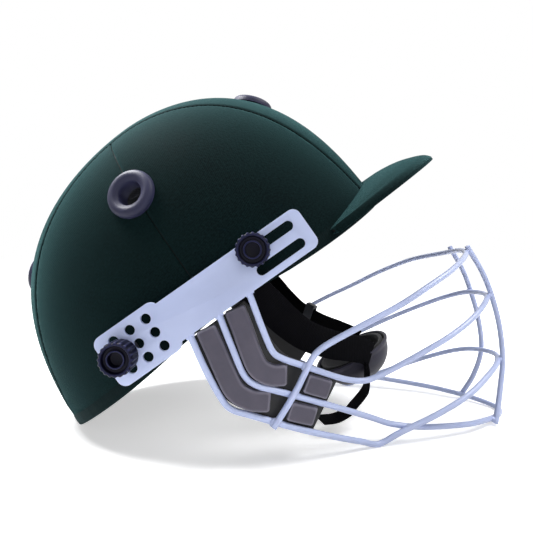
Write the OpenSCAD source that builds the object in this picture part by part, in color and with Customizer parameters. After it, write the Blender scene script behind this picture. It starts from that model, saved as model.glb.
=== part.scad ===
/* [Shell] */
// Reach of the helmet forward of its widest section
shell_front = 124; // [122:1:126]
// Reach of the helmet behind its widest section
shell_rear = 162; // [160:1:164]
// Half width of the helmet over its cloth
shell_half_w = 98; // [97:0.5:98.5]
// Height of the crown above the brow line
shell_h = 146; // [144:1:148]
// Place of the widest section, forward of the ear line
shell_mid = -38; // [-40:1:-36]
// Depth of the bound rim below the brow line over the ears
rim_drop = 9.5; // [9:0.5:11]
// Thickness of the moulded shell
shell_t = 3; // [2.5:0.1:3.5]
// Thickness of the cloth cover
cloth_t = 1.5; // [1.2:0.1:1.6]
// Thickness of the foam liner
liner_t = 8; // [6:0.5:9]
// Half width of the centre cover panel
panel_half_w = 50; // [46:1:54]
// Gap between neighbouring cover panels, where their edges turn in
seam_gap = 0.6; // [0.4:0.1:1]

/* [Peak] */
// Place of the peak's side ends
peak_root_x = 28; // [26:1:30]
// Reach of the peak forward of its side ends
peak_reach = 114; // [110:1:118]
// Half width of the peak
peak_half_w = 90; // [89:0.5:91]
// Thickness of the peak at its root
peak_t = 7; // [6:0.5:8]

/* [Vents] */
// Outer diameter of a vent grommet
vent_d = 32; // [30:0.5:33]
// Bore of a vent grommet
vent_bore = 16; // [14:0.5:17]
// Height of a grommet's flange above the cloth
vent_h = 4.2; // [3:0.2:5]

/* [Side plates] */
// Length of a side plate
plate_l = 143; // [141:0.5:145]
// Width of the slotted front of a side plate
plate_front_w = 26.7; // [26:0.1:27.5]
// Width of the drilled rear of a side plate
plate_rear_w = 33.4; // [33:0.1:34.4]
// Length of the drilled rear of a side plate
plate_rear_l = 44.2; // [43:0.2:46]
// Thickness of a side plate
plate_t = 2; // [1.6:0.1:2.4]
// Distance of a plate's inner face from the middle of the helmet
plate_y = 101.8; // [101.8:0.1:102.4]
// Radius of the round holes in the plate
plate_hole_r = 3.1; // [3:0.05:3.2]
// Spacing of the hole columns along the plate
hole_pitch_x = 11.4; // [11:0.1:12]
// Spacing of the hole rows across the plate
hole_pitch_z = 9.5; // [9.4:0.1:9.8]
// Distance between the end centres of a slot
slot_l = 27.3; // [26.1:0.2:28.5]
// Half width of a slot
slot_r = 3.05; // [3:0.05:3.2]
// Distance of a slot from the plate's own middle line
slot_z = 6.2; // [6:0.1:6.6]

/* [Face guard] */
// Diameter of the guard's steel wires
wire_d = 4; // [3.6:0.1:4.2]
// Depth that the wires are sunk into the side plates at their welds
weld_bite = 0.3; // [0.2:0.1:0.5]

/* [Thumb screws] */
// Diameter of a thumb screw's knob
knob_d = 20; // [19:0.5:21]
// Height of a thumb screw's knob
knob_h = 11.5; // [10:0.5:12]
// Number of flutes round a knob
knob_flutes = 20; // [16:1:24]
// Diameter of a thumb screw's shank
shank_d = 5; // [4.8:0.1:5.2]
// Radial running clearance of the thread
thread_gap = 0.06; // [0.03:0.01:0.09]

/* [Chin harness] */
// Width of the chin strap webbing
strap_w = 21; // [19:0.5:22]
// Thickness of the chin strap webbing
strap_t = 1.5; // [1.3:0.1:1.6]
// Length of the chin cup
cup_l = 60; // [58:1:62]
// Width of the chin cup
cup_w = 62; // [58:1:64]
// Depth of the chin cup
cup_depth = 25; // [23:0.5:27]
// Wall of the chin cup
cup_t = 2.5; // [2:0.1:3]

/* [Rest pose] */
// Angle that the helmet leans back as it lies on its nape and its guard
lean = 36; // [35.5:0.5:36.5]

/* [Hidden] */
$fn = 48;

// The model's origin is under the middle of the object as it lies; the helmet's own level
// frame has x forward, y to the wearer's left and z up, and is leaned back by this module.
rest_x = 8.258;
rest_z = 131;
module level() {
  translate([rest_x, 0, rest_z]) rotate([0, -lean, 0]) children();
}

// Form of the shell: a rounded dome whose plan is fuller at the rim than at the crown
crown_power = 2.35;
plan_power_top = 1.9;
plan_power_rim = 2.3;
rim_arch = 8;
binding_t = 1.4;
shell_sides = 36;
rises = [0, 8, 17, 27, 38, 50, 62, 75];

function signed_pow(v, p) = sign(v) * pow(abs(v), p);
function unit(v) = v / norm(v);
function mix(a, b, t) = a + (b - a) * t;
function plan_power(z) =
  plan_power_top + (plan_power_rim - plan_power_top) * pow(max(0, 1 - z / shell_h), 3);
// The rim arches over the ears, and at the nape it lies along the ground
function rim_z(x) = max(
  binding_t - rim_drop - rim_arch * (1 - exp(-pow((x + 45) / 60, 2))) + 0.04 * max(0, x),
  binding_t + (0.1 - rest_z - x * sin(lean)) / cos(lean)
);

// Point of the form grown outward by off, at plan angle a and rise e
function form(a, e, off) =
  let (
    level_scale = pow(cos(e), 2 / crown_power),
    z = (shell_h + off) * pow(sin(e), 2 / crown_power),
    power = 2 / plan_power(z),
    reach = (cos(a) > 0 ? shell_front : shell_rear) + off
  )
  [
    shell_mid + reach * level_scale * signed_pow(cos(a), power),
    (shell_half_w + off) * level_scale * signed_pow(sin(a), power),
    z
  ];
function rim_point(a, off, lift) =
  let (p = form(a, 0, off)) [p.x, p.y, rim_z(p.x) + lift];
// Outward normal of the form, from two short chords
function form_normal(a, e) =
  let (p = form(a, e, 0))
  unit(cross(form(a + 0.5, e, 0) - p, form(a, e + 0.5, 0) - p));
// Half width of the form at x, near the brow line
function side_y(x, off) =
  let (reach = (x > shell_mid ? shell_front : shell_rear) + off, n = plan_power_rim)
  (shell_half_w + off) * pow(1 - pow(abs(x - shell_mid) / reach, n), 1 / n);
// Height of the form over a point of its plan
function roof_z(x, y, off) =
  let (
    n = plan_power_top,
    reach = (x > shell_mid ? shell_front : shell_rear) + off,
    s = pow(pow(abs(x - shell_mid) / reach, n) + pow(abs(y) / (shell_half_w + off), n), 1 / n)
  )
  (shell_h + off) * pow(1 - pow(s, crown_power), 1 / crown_power);

// Triangles of a wall of k rings of n points each; flip turns them inside out
function wall_faces(start, k, n, flip) = [
  for (r = [0 : k - 2], j = [0 : n - 1])
    let (
      a = start + r * n + j,
      b = start + r * n + (j + 1) % n,
      c = a + n,
      d = b + n
    )
    each (flip ? [[a, b, c], [b, d, c]] : [[a, c, b], [b, c, d]])
];
function fan_faces(start, pole, n, flip) = [
  for (j = [0 : n - 1])
    let (a = start + j, b = start + (j + 1) % n) flip ? [a, b, pole] : [a, pole, b]
];

// Closed wall between an outer and an inner bowl of equal rings, each with its pole
module bowl_solid(outer, outer_pole, inner, inner_pole, flip = false) {
  k = len(outer);
  n = len(outer[0]);
  base = k * n + 1;
  rim = [
    for (j = [0 : n - 1])
      let (i = (j + 1) % n)
      each (flip ? [[j, base + j, i], [i, base + j, base + i]]
                 : [[j, i, base + j], [i, base + i, base + j]])
  ];
  polyhedron(
    concat([for (r = outer) each r], [outer_pole], [for (r = inner) each r], [inner_pole]),
    concat(
      wall_faces(0, k, n, flip), fan_faces((k - 1) * n, k * n, n, flip),
      wall_faces(base, k, n, !flip), fan_faces(base + (k - 1) * n, base + k * n, n, !flip),
      rim
    ),
    convexity = 6
  );
}

function total(list, i = 0) = i == len(list) - 1 ? list[i] : list[i] + total(list, i + 1);
function middle(ring) = total(ring) / len(ring);
// Which way a ring turns about its own middle, as a vector
function turn(ring) =
  let (c = middle(ring), n = len(ring))
  total([for (i = [0 : n - 1]) cross(ring[i] - c, ring[(i + 1) % n] - c)]);

// Solid through a list of rings of equal length, closed at both ends
module sweep(rings) {
  k = len(rings);
  n = len(rings[0]);
  last = (k - 1) * n;
  flip = turn(rings[0]) * (middle(rings[1]) - middle(rings[0])) < 0;
  cap = [for (i = [1 : n - 2]) flip ? [0, i + 1, i] : [0, i, i + 1]];
  end = [for (i = [1 : n - 2]) flip ? [last, last + i, last + i + 1] : [last, last + i + 1, last + i]];
  polyhedron(
    [for (r = rings) each r],
    concat(wall_faces(0, k, n, flip), cap, end),
    convexity = 6
  );
}

// Curve through a list of points, with so many steps between two of them
function curve_point(a, b, c, d, t) =
  0.5 * (2 * b + (c - a) * t + (2 * a - 5 * b + 4 * c - d) * t * t
    + (3 * b - a - 3 * c + d) * t * t * t);
function smooth(p, steps) =
  let (n = len(p), q = concat([2 * p[0] - p[1]], p, [2 * p[n - 1] - p[n - 2]]))
  concat(
    [for (i = [0 : n - 2], s = [0 : steps - 1])
      curve_point(q[i], q[i + 1], q[i + 2], q[i + 3], s / steps)],
    [p[n - 1]]
  );
function tangent(p, i) = unit(p[min(i + 1, len(p) - 1)] - p[max(i - 1, 0)]);

// Round wire of 8 sides along a curve; no wire runs along the lean reference
lean_reference = [1, 0, 1];
module wire(path, d = wire_d) {
  sweep([
    for (i = [0 : len(path) - 1])
      let (t = tangent(path, i), side = unit(cross(t, lean_reference)), up = cross(t, side))
      [for (j = [0 : 7]) path[i] + d / 2 * (cos(j * 45) * side + sin(j * 45) * up)]
  ]);
}

function mirrored(p) = [p.x, -p.y, p.z];
function reversed(list) = [for (i = [len(list) - 1 : -1 : 0]) list[i]];
// Curve across the helmet from the points of its right half, listed from the middle out
function across(half, steps) =
  smooth(concat([for (p = reversed(half)) p], [for (i = [1 : len(half) - 1]) mirrored(half[i])]), steps);

// Places that more than one piece is cut or set by
plate_place = [-48, 3.7];
plate_dip = 0.9;
screw_slot_x = plate_l / 2 - 10 - slot_l + 3;
screw_hole_x = -plate_l / 2 + hole_pitch_x;
function on_plate(x, z) = [
  plate_place.x + x * cos(plate_dip) + z * sin(plate_dip),
  plate_place.y - x * sin(plate_dip) + z * cos(plate_dip)
];
screws = [on_plate(screw_slot_x, slot_z), on_plate(screw_hole_x, 0)];
rivet_place = [-26, -3];
seat_depth = cloth_t + 1.4;
insert_r = 4;
flange_r = 9;
washer_t = 1.2;
vents = [[-96.5, 31], [96.5, 31], [0, 45.6], [180, 39.4]];
vent_neck_r = vent_bore / 2 + 2.4;
vent_seat = 1.2;

module at_vent(v) {
  n = form_normal(v[0], v[1]);
  translate(form(v[0], v[1], 0)) rotate([0, acos(n.z), atan2(n.y, n.x)]) children();
}
// Puts its children on a screw's axis, with +Z pointing outward through the right side
module on_right(place, y) {
  translate([place.x, -y, place.y]) rotate([90, 0, 0]) children();
}
module both_sides() {
  children();
  mirror([0, 1, 0]) children();
}

// Cuts through the shell and its cover for the vents, the screws and the strap rivets
module shell_cuts() {
  for (v = vents) at_vent(v) {
    translate([0, 0, -25]) cylinder(r = vent_neck_r, h = 40);
    translate([0, 0, -vent_seat]) cylinder(d = vent_d + 0.4, h = 12);
  }
  both_sides() for (s = screws) {
    on_right(s, side_y(s.x, 0) - 20) cylinder(r = insert_r + 0.05, h = 40);
    on_right(s, side_y(s.x, 0) - seat_depth) cylinder(r = 6.6, h = 12);
  }
  both_sides() on_right(rivet_place, 80) cylinder(r = 2.5, h = 30);
}

// Bowl between two offsets of the form, its rim raised by lift
module dome(out, inn, lift) {
  bowl_solid(dome_rings(out, lift), form(0, 90, out), dome_rings(inn, lift), form(0, 90, inn));
}
function dome_rings(off, lift) = concat(
  [[for (j = [0 : shell_sides - 1]) rim_point(j * 360 / shell_sides, off, lift)]],
  [for (e = rises) [for (j = [0 : shell_sides - 1]) form(j * 360 / shell_sides, e, off)]]
);

module shell() {
  color("#20242a") level() difference() {
    dome(-cloth_t, -cloth_t - shell_t, 0);
    shell_cuts();
  }
}

// Part of the cloth between two x planes and two y planes
module cover_panel(x0, x1, y0, y1) {
  color("#1d3b36") level() difference() {
    intersection() {
      dome(0, -cloth_t, 0);
      translate([x0, y0, -60]) cube([x1 - x0, y1 - y0, 300]);
    }
    shell_cuts();
  }
}
cover_split_x = -51;
cover_reach = 260;
panel_edge = panel_half_w + seam_gap / 2;
module cover_centre() {
  w = panel_half_w - seam_gap / 2;
  cover_panel(-cover_reach, cover_reach, -w, w);
}
module cover_front_right() cover_panel(cover_split_x + seam_gap / 2, cover_reach, -cover_reach, -panel_edge);
module cover_front_left() cover_panel(cover_split_x + seam_gap / 2, cover_reach, panel_edge, cover_reach);
module cover_rear_right() cover_panel(-cover_reach, cover_split_x - seam_gap / 2, -cover_reach, -panel_edge);
module cover_rear_left() cover_panel(-cover_reach, cover_split_x - seam_gap / 2, panel_edge, cover_reach);

// Folded edge of cloth that wraps under the rim, all the way round
module rim_binding() {
  ring = [for (j = [0 : shell_sides - 1]) j * 360 / shell_sides];
  inner = -cloth_t - shell_t;
  outline = [[0, -0.4], [inner, -0.4], [inner + 0.4, -binding_t], [-0.5, -binding_t]];
  rings = [for (a = ring) [for (q = outline) rim_point(a, q[0], q[1])]];
  n = len(outline);
  color("#1a3631") level() polyhedron(
    [for (r = rings) each r],
    [for (i = [0 : len(ring) - 1], j = [0 : n - 1])
      let (a = i * n + j, b = i * n + (j + 1) % n, k = (i + 1) % len(ring), c = k * n + j,
        d = k * n + (j + 1) % n)
      each [[a, b, c], [b, d, c]]],
    convexity = 6
  );
}

// The peak: rings of one profile, swept from one side of the brow to the other
peak_steps = 16;
function peak_row(t, r, drop, grow) =
  let (
    root = form(t * 61 / 90, 0, 0.3),
    edge = [peak_root_x + (peak_reach + grow) * cos(t), (peak_half_w + grow * 0.3) * sin(t), 0],
    plan = mix(root, edge, r),
    root_z = 6 - 15 * (1 - cos(t)),
    edge_z = -7.5
  )
  [plan.x, plan.y, mix(edge_z, root_z, 1 - pow(r, 2.6)) - drop];
function peak_profile(t, in) =
  let (
    thick = mix(1, 0.55, abs(t) / 90) * peak_t,
    top = [for (r = [0, 0.3, 0.58, 0.8, 0.93]) peak_row(t, r, in, -in)],
    edge = [peak_row(t, 1, 1.6 + in * 0.4, -in), peak_row(t, 1.005, 3, -in),
      peak_row(t, 1, 4.4 - in * 0.4, -in)],
    under = [for (r = [0.93, 0.7, 0.35, 0]) peak_row(t, r, mix(thick, 5.5, r) - in, -in)]
  )
  concat(top, edge, under);
module peak_form(in) {
  sweep([for (i = [0 : peak_steps]) peak_profile(mix(-84, 84, i / peak_steps), in)]);
}
module peak_board() {
  color("#20242a") level() peak_form(1.2);
}
module peak_cover() {
  color("#1d3b36") level() difference() {
    peak_form(0);
    peak_form(1.15);
  }
}

// A vent grommet: a rounded flange outside, a neck through the shell and a lip inside
module grommet(v) {
  bore = vent_bore / 2;
  out = vent_d / 2;
  color("#343052") level() at_vent(v) rotate_extrude($fn = 48) polygon([
    [bore, -8], [vent_neck_r + 2.4, -8], [vent_neck_r + 2.4, -7.2], [vent_neck_r - 0.1, -6.8],
    [vent_neck_r - 0.1, -vent_seat], [out, -vent_seat], [out, vent_h * 0.35], [out - 1.6, vent_h * 0.8],
    [out - 4, vent_h], [bore + 2.2, vent_h], [bore + 0.7, vent_h - 0.7], [bore, vent_h - 2]
  ]);
}
module vent_grommet_right() grommet(vents[0]);
module vent_grommet_left() grommet(vents[1]);
module vent_grommet_top() grommet(vents[2]);
module vent_grommet_rear() grommet(vents[3]);

// Foam liner, a gap behind the shell for the strap ends, with pockets for what sticks in
liner_out = -cloth_t - shell_t - 2.2;
liner_in = liner_out - liner_t;
module foam_liner() {
  color("#33363a") level() difference() {
    dome(liner_out, liner_in, 8);
    for (v = vents) at_vent(v) translate([0, 0, -40]) cylinder(r = vent_neck_r + 3.4, h = 50);
    both_sides() for (s = screws) on_right(s, 50) cylinder(r = flange_r + 1.5, h = 60);
    both_sides() on_right(rivet_place, 50) cylinder(r = 7, h = 60);
    both_sides() on_right(rivet_place, strap_y - 2.5) cylinder(r = 15.5, h = 20);
  }
}

// Soft pad over a patch of the liner: a crowned face, drawn-in sides and a curved back that
// is held off the liner by its hook and loop tape
pad_back = liner_in - 1;
module lining_pad(a0, a1, e0, e1, thick, rows, cols) {
  back = [for (i = [0 : rows]) [for (j = [0 : cols])
    form(mix(a0, a1, j / cols), mix(e0, e1, i / rows), pad_back)]];
  face = [for (i = [0 : rows]) [for (j = [0 : cols])
    let (
      u = 2 * i / rows - 1,
      v = 2 * j / cols - 1,
      rise = thick * (0.35 + 0.65 * pow((1 - pow(abs(u), 4)) * (1 - pow(abs(v), 6)), 0.5)),
      draw = 0.97 / 2
    )
    form(mix(a0, a1, 0.5 + draw * v), mix(e0, e1, 0.5 + draw * u), pad_back - rise)]];
  patch_solid(face, back);
}
// Closed solid between two equal grids of points
module patch_solid(face, back, flip = false) {
  rows = len(face);
  cols = len(face[0]);
  n = rows * cols;
  function at(i, j) = i * cols + j;
  edge = concat(
    [for (j = [0 : cols - 2]) [at(0, j), at(0, j + 1)]],
    [for (i = [0 : rows - 2]) [at(i, cols - 1), at(i + 1, cols - 1)]],
    [for (j = [cols - 2 : -1 : 0]) [at(rows - 1, j + 1), at(rows - 1, j)]],
    [for (i = [rows - 2 : -1 : 0]) [at(i + 1, 0), at(i, 0)]]
  );
  faces = concat(
    [for (i = [0 : rows - 2], j = [0 : cols - 2])
      each [[at(i, j), at(i, j + 1), at(i + 1, j)], [at(i, j + 1), at(i + 1, j + 1), at(i + 1, j)]]],
    [for (i = [0 : rows - 2], j = [0 : cols - 2])
      each [[n + at(i, j), n + at(i + 1, j), n + at(i, j + 1)],
        [n + at(i, j + 1), n + at(i + 1, j), n + at(i + 1, j + 1)]]],
    [for (e = edge) each [[e[0], n + e[0], e[1]], [e[1], n + e[0], n + e[1]]]]
  );
  polyhedron(
    concat([for (r = face) each r], [for (r = back) each r]),
    flip ? [for (f = faces) [f[0], f[2], f[1]]] : faces,
    convexity = 6
  );
}
module sweatband() {
  color("#5b5f66") level() lining_pad(-52, 52, 1, 14, 7, 5, 18);
}
module side_pad() {
  level() lining_pad(78, 128, 3, 24, 8, 5, 10);
}
module side_pad_left() color("#5b5f66") side_pad();
module side_pad_right() color("#5b5f66") mirror([0, 1, 0]) side_pad();
module nape_pad() {
  color("#5b5f66") level() lining_pad(150, 210, 2, 20, 8, 5, 12);
}
// Round pad under the crown, with a sewn dimple in its middle
crown_pad_r = 42;
module crown_pad() {
  sides = 20;
  reaches = [1, 0.93, 0.75, 0.5, 0.2];
  centre_x = shell_mid - 8;
  function ring(k, drop) = [for (j = [0 : sides - 1])
    let (a = j * 360 / sides, x = centre_x + 1.2 * crown_pad_r * k * cos(a), y = crown_pad_r * k * sin(a))
    [x, y, roof_z(x, y, pad_back - 1) - drop]];
  drops = [5, 8, 9.5, 9, 6.5];
  color("#5b5f66") level() bowl_solid(
    [for (k = reaches) ring(k, 0)], [centre_x, 0, roof_z(centre_x, 0, pad_back - 1)],
    [for (i = [0 : 4]) ring(reaches[i] * (i == 0 ? 0.98 : 1), drops[i])],
    [centre_x, 0, roof_z(centre_x, 0, pad_back - 1) - 5.5]
  );
}

// Side plates: a slotted front and a wider drilled rear, laser cut from one sheet
module rounded(l, w, r) {
  square([l - 2 * r, w], center = true);
  square([l, w - 2 * r], center = true);
  for (x = [-1, 1], y = [-1, 1]) translate([x * (l / 2 - r), y * (w / 2 - r)]) circle(r = r);
}
module slot_outline() {
  translate([0, -slot_r]) square([slot_l, 2 * slot_r]);
  circle(r = slot_r);
  translate([slot_l, 0]) circle(r = slot_r);
}
module plate_outline() {
  difference() {
    union() {
      rounded(plate_l, plate_front_w, 5);
      translate([-plate_l / 2 + plate_rear_l / 2, 0]) rounded(plate_rear_l, plate_rear_w, 5.5);
    }
    for (z = [-slot_z, slot_z]) translate([plate_l / 2 - 10 - slot_l, z]) slot_outline();
    for (i = [0 : 2], z = [-1 : 1])
      translate([screw_hole_x + i * hole_pitch_x, z * hole_pitch_z]) circle(r = plate_hole_r);
  }
}
module side_plate() {
  level() translate([plate_place.x, -plate_y, plate_place.y]) rotate([0, plate_dip, 0])
    rotate([90, 0, 0]) linear_extrude(plate_t) plate_outline();
}
module side_plate_right() color("#aeb8d6") side_plate();
module side_plate_left() color("#aeb8d6") mirror([0, 1, 0]) side_plate();

// Guard wires, each from the middle of the face out to the right side
wire_y = -plate_y + wire_d / 2 - weld_bite;
eye_half = [
  [122, 0, -87], [117, -22, -86], [101, -51, -81], [85, -67, -78], [66, -77, -75], [42, -84, -72],
  [13, -88, -67], [-10, -88.5, -64], [-20, -88.4, -65], [-30, -90.6, -69.5], [-44, -93.8, -76], [-66, -98, -84]
];
upper_half = [
  [116, 0, -126], [111, -20, -124], [98, -36, -122], [82, -48, -120], [62, -57, -117],
  [45, -61, -114], [21, -64, -110], [4, -64, -107], [-5, -66, -103], [-15, -73, -91],
  [-29, -87, -66], [-36, -91.6, -54], [-38, -93.6, -46], [-34, -97, -30], [-28.7, wire_y, -12],
  [-27, wire_y, -4]
];
middle_half = [
  [95, 0, -172], [88, -21, -168.5], [74, -36, -165], [51, -50, -161], [25, -57.5, -155.5],
  [-5, -62, -148], [-21, -65, -144.2], [-29, -71, -133], [-39.8, -80, -116.6],
  [-53.2, -90, -95.5], [-70.2, -96, -70.2], [-77.6, -96.8, -59.7], [-78.6, -97.4, -50],
  [-75.5, -99, -30], [-71.4, wire_y, -12], [-70, wire_y, -4]
];
bottom_half = [
  [71, 0, -210.5], [63, -20, -203], [47, -37, -189], [33, -46.5, -177], [10, -56.4, -157],
  [-6, -58, -142], [-14.9, -63.8, -127.2], [-30.6, -79.2, -98.8], [-48.7, -92.7, -69.5],
  [-57, -95.3, -58], [-59.8, -96.2, -48], [-55.8, -98, -31], [-50.5, wire_y, -12], [-49, wire_y, -4]
];
module guard_wire(half) {
  color("#bec8e6") level() wire(across(half, 2));
}
module eye_bar() guard_wire(eye_half);
module upper_bar() guard_wire(upper_half);
module middle_bar() guard_wire(middle_half);
module bottom_bar() guard_wire(bottom_half);
upright_path = [
  [123.2, -17, -82], [122.4, -17, -87], [120.4, -17.5, -106], [115.4, -18, -125.3],
  [106.3, -17.5, -149], [93, -17.5, -171.6], [76, -22, -187.5], [59.6, -29.5, -198.6], [56.6, -31, -200]
];
module guard_upright() {
  level() wire(smooth(upright_path, 2));
}
module guard_upright_right() color("#bec8e6") guard_upright();
module guard_upright_left() color("#bec8e6") mirror([0, 1, 0]) guard_upright();

// Depth of the cheek surface that the wires and the temple pads lie in, by place
function cheek_y(x, z) =
  let (along = 0.9 * x - 0.45 * z + 12) 98.5 - 0.3 * (along + sqrt(along * along + 400));
function cheek(x, z, in) = [x, -cheek_y(x, z) + in, z];

// Backing sheet of the temple guard, between the rearmost wire and a lip ahead of the first
backing_t = 2.4;
backing_in = wire_d / 2 + 0.5;
backing_rear = [[-70, -11.5], [-74, -30], [-76, -52], [-70, -66], [-60, -84], [-48, -103]];
backing_front = [[-34, -14.5], [-32.5, -26], [-35, -42], [-33, -56], [-25, -70], [-17, -90]];
module temple_backing() {
  rear = smooth(backing_rear, 2);
  front = smooth(backing_front, 2);
  cols = 5;
  function grid(in) = [for (i = [0 : len(rear) - 1]) [for (j = [0 : cols])
    let (p = mix(rear[i], front[i], j / cols)) cheek(p.x, p.y, in)]];
  level() patch_solid(grid(backing_in), grid(backing_in + backing_t));
}
module temple_backing_right() color("#101014") temple_backing();
module temple_backing_left() color("#101014") mirror([0, 1, 0]) temple_backing();

// Raised pad along a route on the backing: crowned face, drawn-in sides, rounded ends
pad_rise = 4.6;
pad_section = [
  [-0.97, 0], [-0.9, 0.45], [-0.98, 0.78], [-0.85, 0.95], [-0.45, 1.03],
  [0.45, 1.03], [0.85, 0.95], [0.98, 0.78], [0.9, 0.45], [0.97, 0]
];
module route_pad(route, half_w) {
  path = smooth(route, 2);
  last = len(path) - 1;
  stations = concat([0], [for (i = [0 : last]) i], [last]);
  level() sweep([
    for (k = [0 : len(stations) - 1])
      let (
        i = stations[k],
        end = k == 0 ? -1 : k == len(stations) - 1 ? 1 : 0,
        t = tangent(path, i),
        side = [t.y, -t.x],
        place = path[i] + t * end * 1.6,
        narrow = end == 0 ? 1 : 0.8,
        low = end == 0 ? 1 : 0.75
      )
      [for (q = pad_section)
        let (p = place + side * q[0] * half_w * narrow) cheek(p.x, p.y, backing_in - 0.05 - q[1] * pad_rise * low)]
  ]);
}
rear_route = [[-62, -13], [-64.5, -25], [-68, -41], [-69.5, -52], [-65.5, -62], [-58, -69]];
front_route = [[-41.5, -13.5], [-44.5, -25], [-49, -40], [-50.5, -50], [-47, -58], [-41, -63]];
jaw_front_route = [[-33, -77.5], [-29.5, -83.5], [-26, -89.5]];
jaw_rear_route = [[-50.5, -83.5], [-46.5, -89.5], [-42.5, -95.5]];
module temple_pad_rear_right() color("#58525a") route_pad(rear_route, 6.4);
module temple_pad_rear_left() color("#58525a") mirror([0, 1, 0]) route_pad(rear_route, 6.4);
module temple_pad_front_right() color("#58525a") route_pad(front_route, 6.4);
module temple_pad_front_left() color("#58525a") mirror([0, 1, 0]) route_pad(front_route, 6.4);
module jaw_pad_front_right() color("#58525a") route_pad(jaw_front_route, 5.7);
module jaw_pad_front_left() color("#58525a") mirror([0, 1, 0]) route_pad(jaw_front_route, 5.7);
module jaw_pad_rear_right() color("#58525a") route_pad(jaw_rear_route, 5.5);
module jaw_pad_rear_left() color("#58525a") mirror([0, 1, 0]) route_pad(jaw_rear_route, 5.5);

// Thumb screws: the shank turns in a threaded insert, and the washer rides with the knob
washer_y = plate_y + plate_t;
knob_y = washer_y + washer_t;
module knob_body() {
  r = knob_d / 2;
  difference() {
    rotate_extrude($fn = 60) polygon([
      [shank_d / 2, 0], [r - 1, 0], [r, 1], [r, knob_h - 1], [r - 1, knob_h], [r - 2, knob_h],
      [r - 2.6, knob_h - 2.4], [5.4, knob_h - 2.4], [5.2, knob_h - 0.6], [4.3, knob_h - 0.6],
      [4.3, 6], [shank_d / 2, 6]
    ]);
    for (i = [0 : knob_flutes - 1]) rotate([0, 0, i * 360 / knob_flutes])
      translate([r + 0.25, 0, 1.5]) cylinder(r = 0.8, h = knob_h, $fn = 16);
  }
}
module knob(s, side) {
  color("#191a32") level() mirror([0, side, 0]) on_right(s, knob_y) knob_body();
}
module shank(s, side) {
  tip = side_y(s.x, 0) - 13.5;
  color("#c8ccd2") level() mirror([0, side, 0]) on_right(s, tip) cylinder(d = shank_d, h = knob_y + 5.8 - tip);
}
module washer(s, side) {
  color("#c8ccd2") level() mirror([0, side, 0]) on_right(s, washer_y + 0.1) difference() {
    cylinder(r = 7, h = washer_t - 0.2);
    translate([0, 0, -1]) cylinder(d = shank_d + 0.2, h = 4);
  }
}
module front_right_knob() knob(screws[0], 0);
module front_left_knob() knob(screws[0], 1);
module rear_right_knob() knob(screws[1], 0);
module rear_left_knob() knob(screws[1], 1);
module front_right_shank() shank(screws[0], 0);
module front_left_shank() shank(screws[0], 1);
module rear_right_shank() shank(screws[1], 0);
module rear_left_shank() shank(screws[1], 1);
module front_right_washer() washer(screws[0], 0);
module front_left_washer() washer(screws[0], 1);
module rear_right_washer() washer(screws[1], 0);
module rear_left_washer() washer(screws[1], 1);

// Spacer sleeves between the shell and the plates
module plate_spacers() {
  color("#2a2c33") level() both_sides() for (s = screws) {
    low = side_y(s.x, 0) - seat_depth;
    on_right(s, low) difference() {
      cylinder(r = 6.4, h = plate_y - low);
      translate([0, 0, -1]) cylinder(d = shank_d + 0.8, h = 30);
    }
  }
}
// Threaded inserts in the shell, each with its flange inside
module tee_nuts() {
  color("#b9bec6") level() both_sides() for (s = screws) {
    seat = side_y(s.x, 0) - seat_depth;
    on_right(s, seat - 8) difference() {
      union() {
        cylinder(r = insert_r, h = 8);
        cylinder(r = flange_r, h = 1.2);
      }
      translate([0, 0, -1]) cylinder(r = shank_d / 2 + thread_gap, h = 12);
    }
  }
}
// Rivets that the strap ends hang on, through the shell
strap_gap = 1.3;
strap_y = side_y(rivet_place.x, 0) - cloth_t - shell_t - strap_gap - strap_t / 2;
module strap_rivets() {
  color("#b9bec6") level() both_sides() on_right(rivet_place, strap_y - strap_t / 2 - 1.4) {
    cylinder(r = 5, h = 1.1);
    cylinder(r = 2.45, h = 1.4 + strap_t + strap_gap + shell_t + 0.6);
  }
}

// Chin straps: flat webbing from the rivet down to the side of the cup
strap_route = [
  [-26, 0, 6], [-26, 0, -8], [-25, 4.2, -18], [-23.5, 10, -28], [-22, 19, -41], [-18, 33, -58],
  [-9, 46, -75], [2, 55.6, -89], [8, 59.4, -97], [11, 60.2, -104]
];
strap_across = [
  [1, 0, 0], [1, 0, 0], [1, 0, 0.1], [1, 0.05, 0.2], [1, 0.1, 0.25], [1, 0.3, 0.3],
  [0.85, 0.5, 0.3], [0.8, 0.6, 0.15], [0.8, 0.6, 0], [0.8, 0.6, 0]
];
module ribbon(path, sides, w) {
  sweep([
    for (i = [0 : len(path) - 1])
      let (t = tangent(path, i), s = unit(sides[i] - t * (sides[i] * t)), n = cross(t, s))
      [path[i] - s * w / 2 - n * strap_t / 2, path[i] + s * w / 2 - n * strap_t / 2,
        path[i] + s * w / 2 + n * strap_t / 2, path[i] - s * w / 2 + n * strap_t / 2]
  ]);
}
module chin_strap() {
  route = [for (p = strap_route) [p.x, p.y - strap_y, p.z]];
  level() difference() {
    ribbon(smooth(route, 2), smooth(strap_across, 2), strap_w);
    on_right(rivet_place, 80) cylinder(r = 2.52, h = 20);
  }
}
module chin_strap_right() color("#0d0d10") chin_strap();
module chin_strap_left() color("#0d0d10") mirror([0, 1, 0]) chin_strap();

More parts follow.
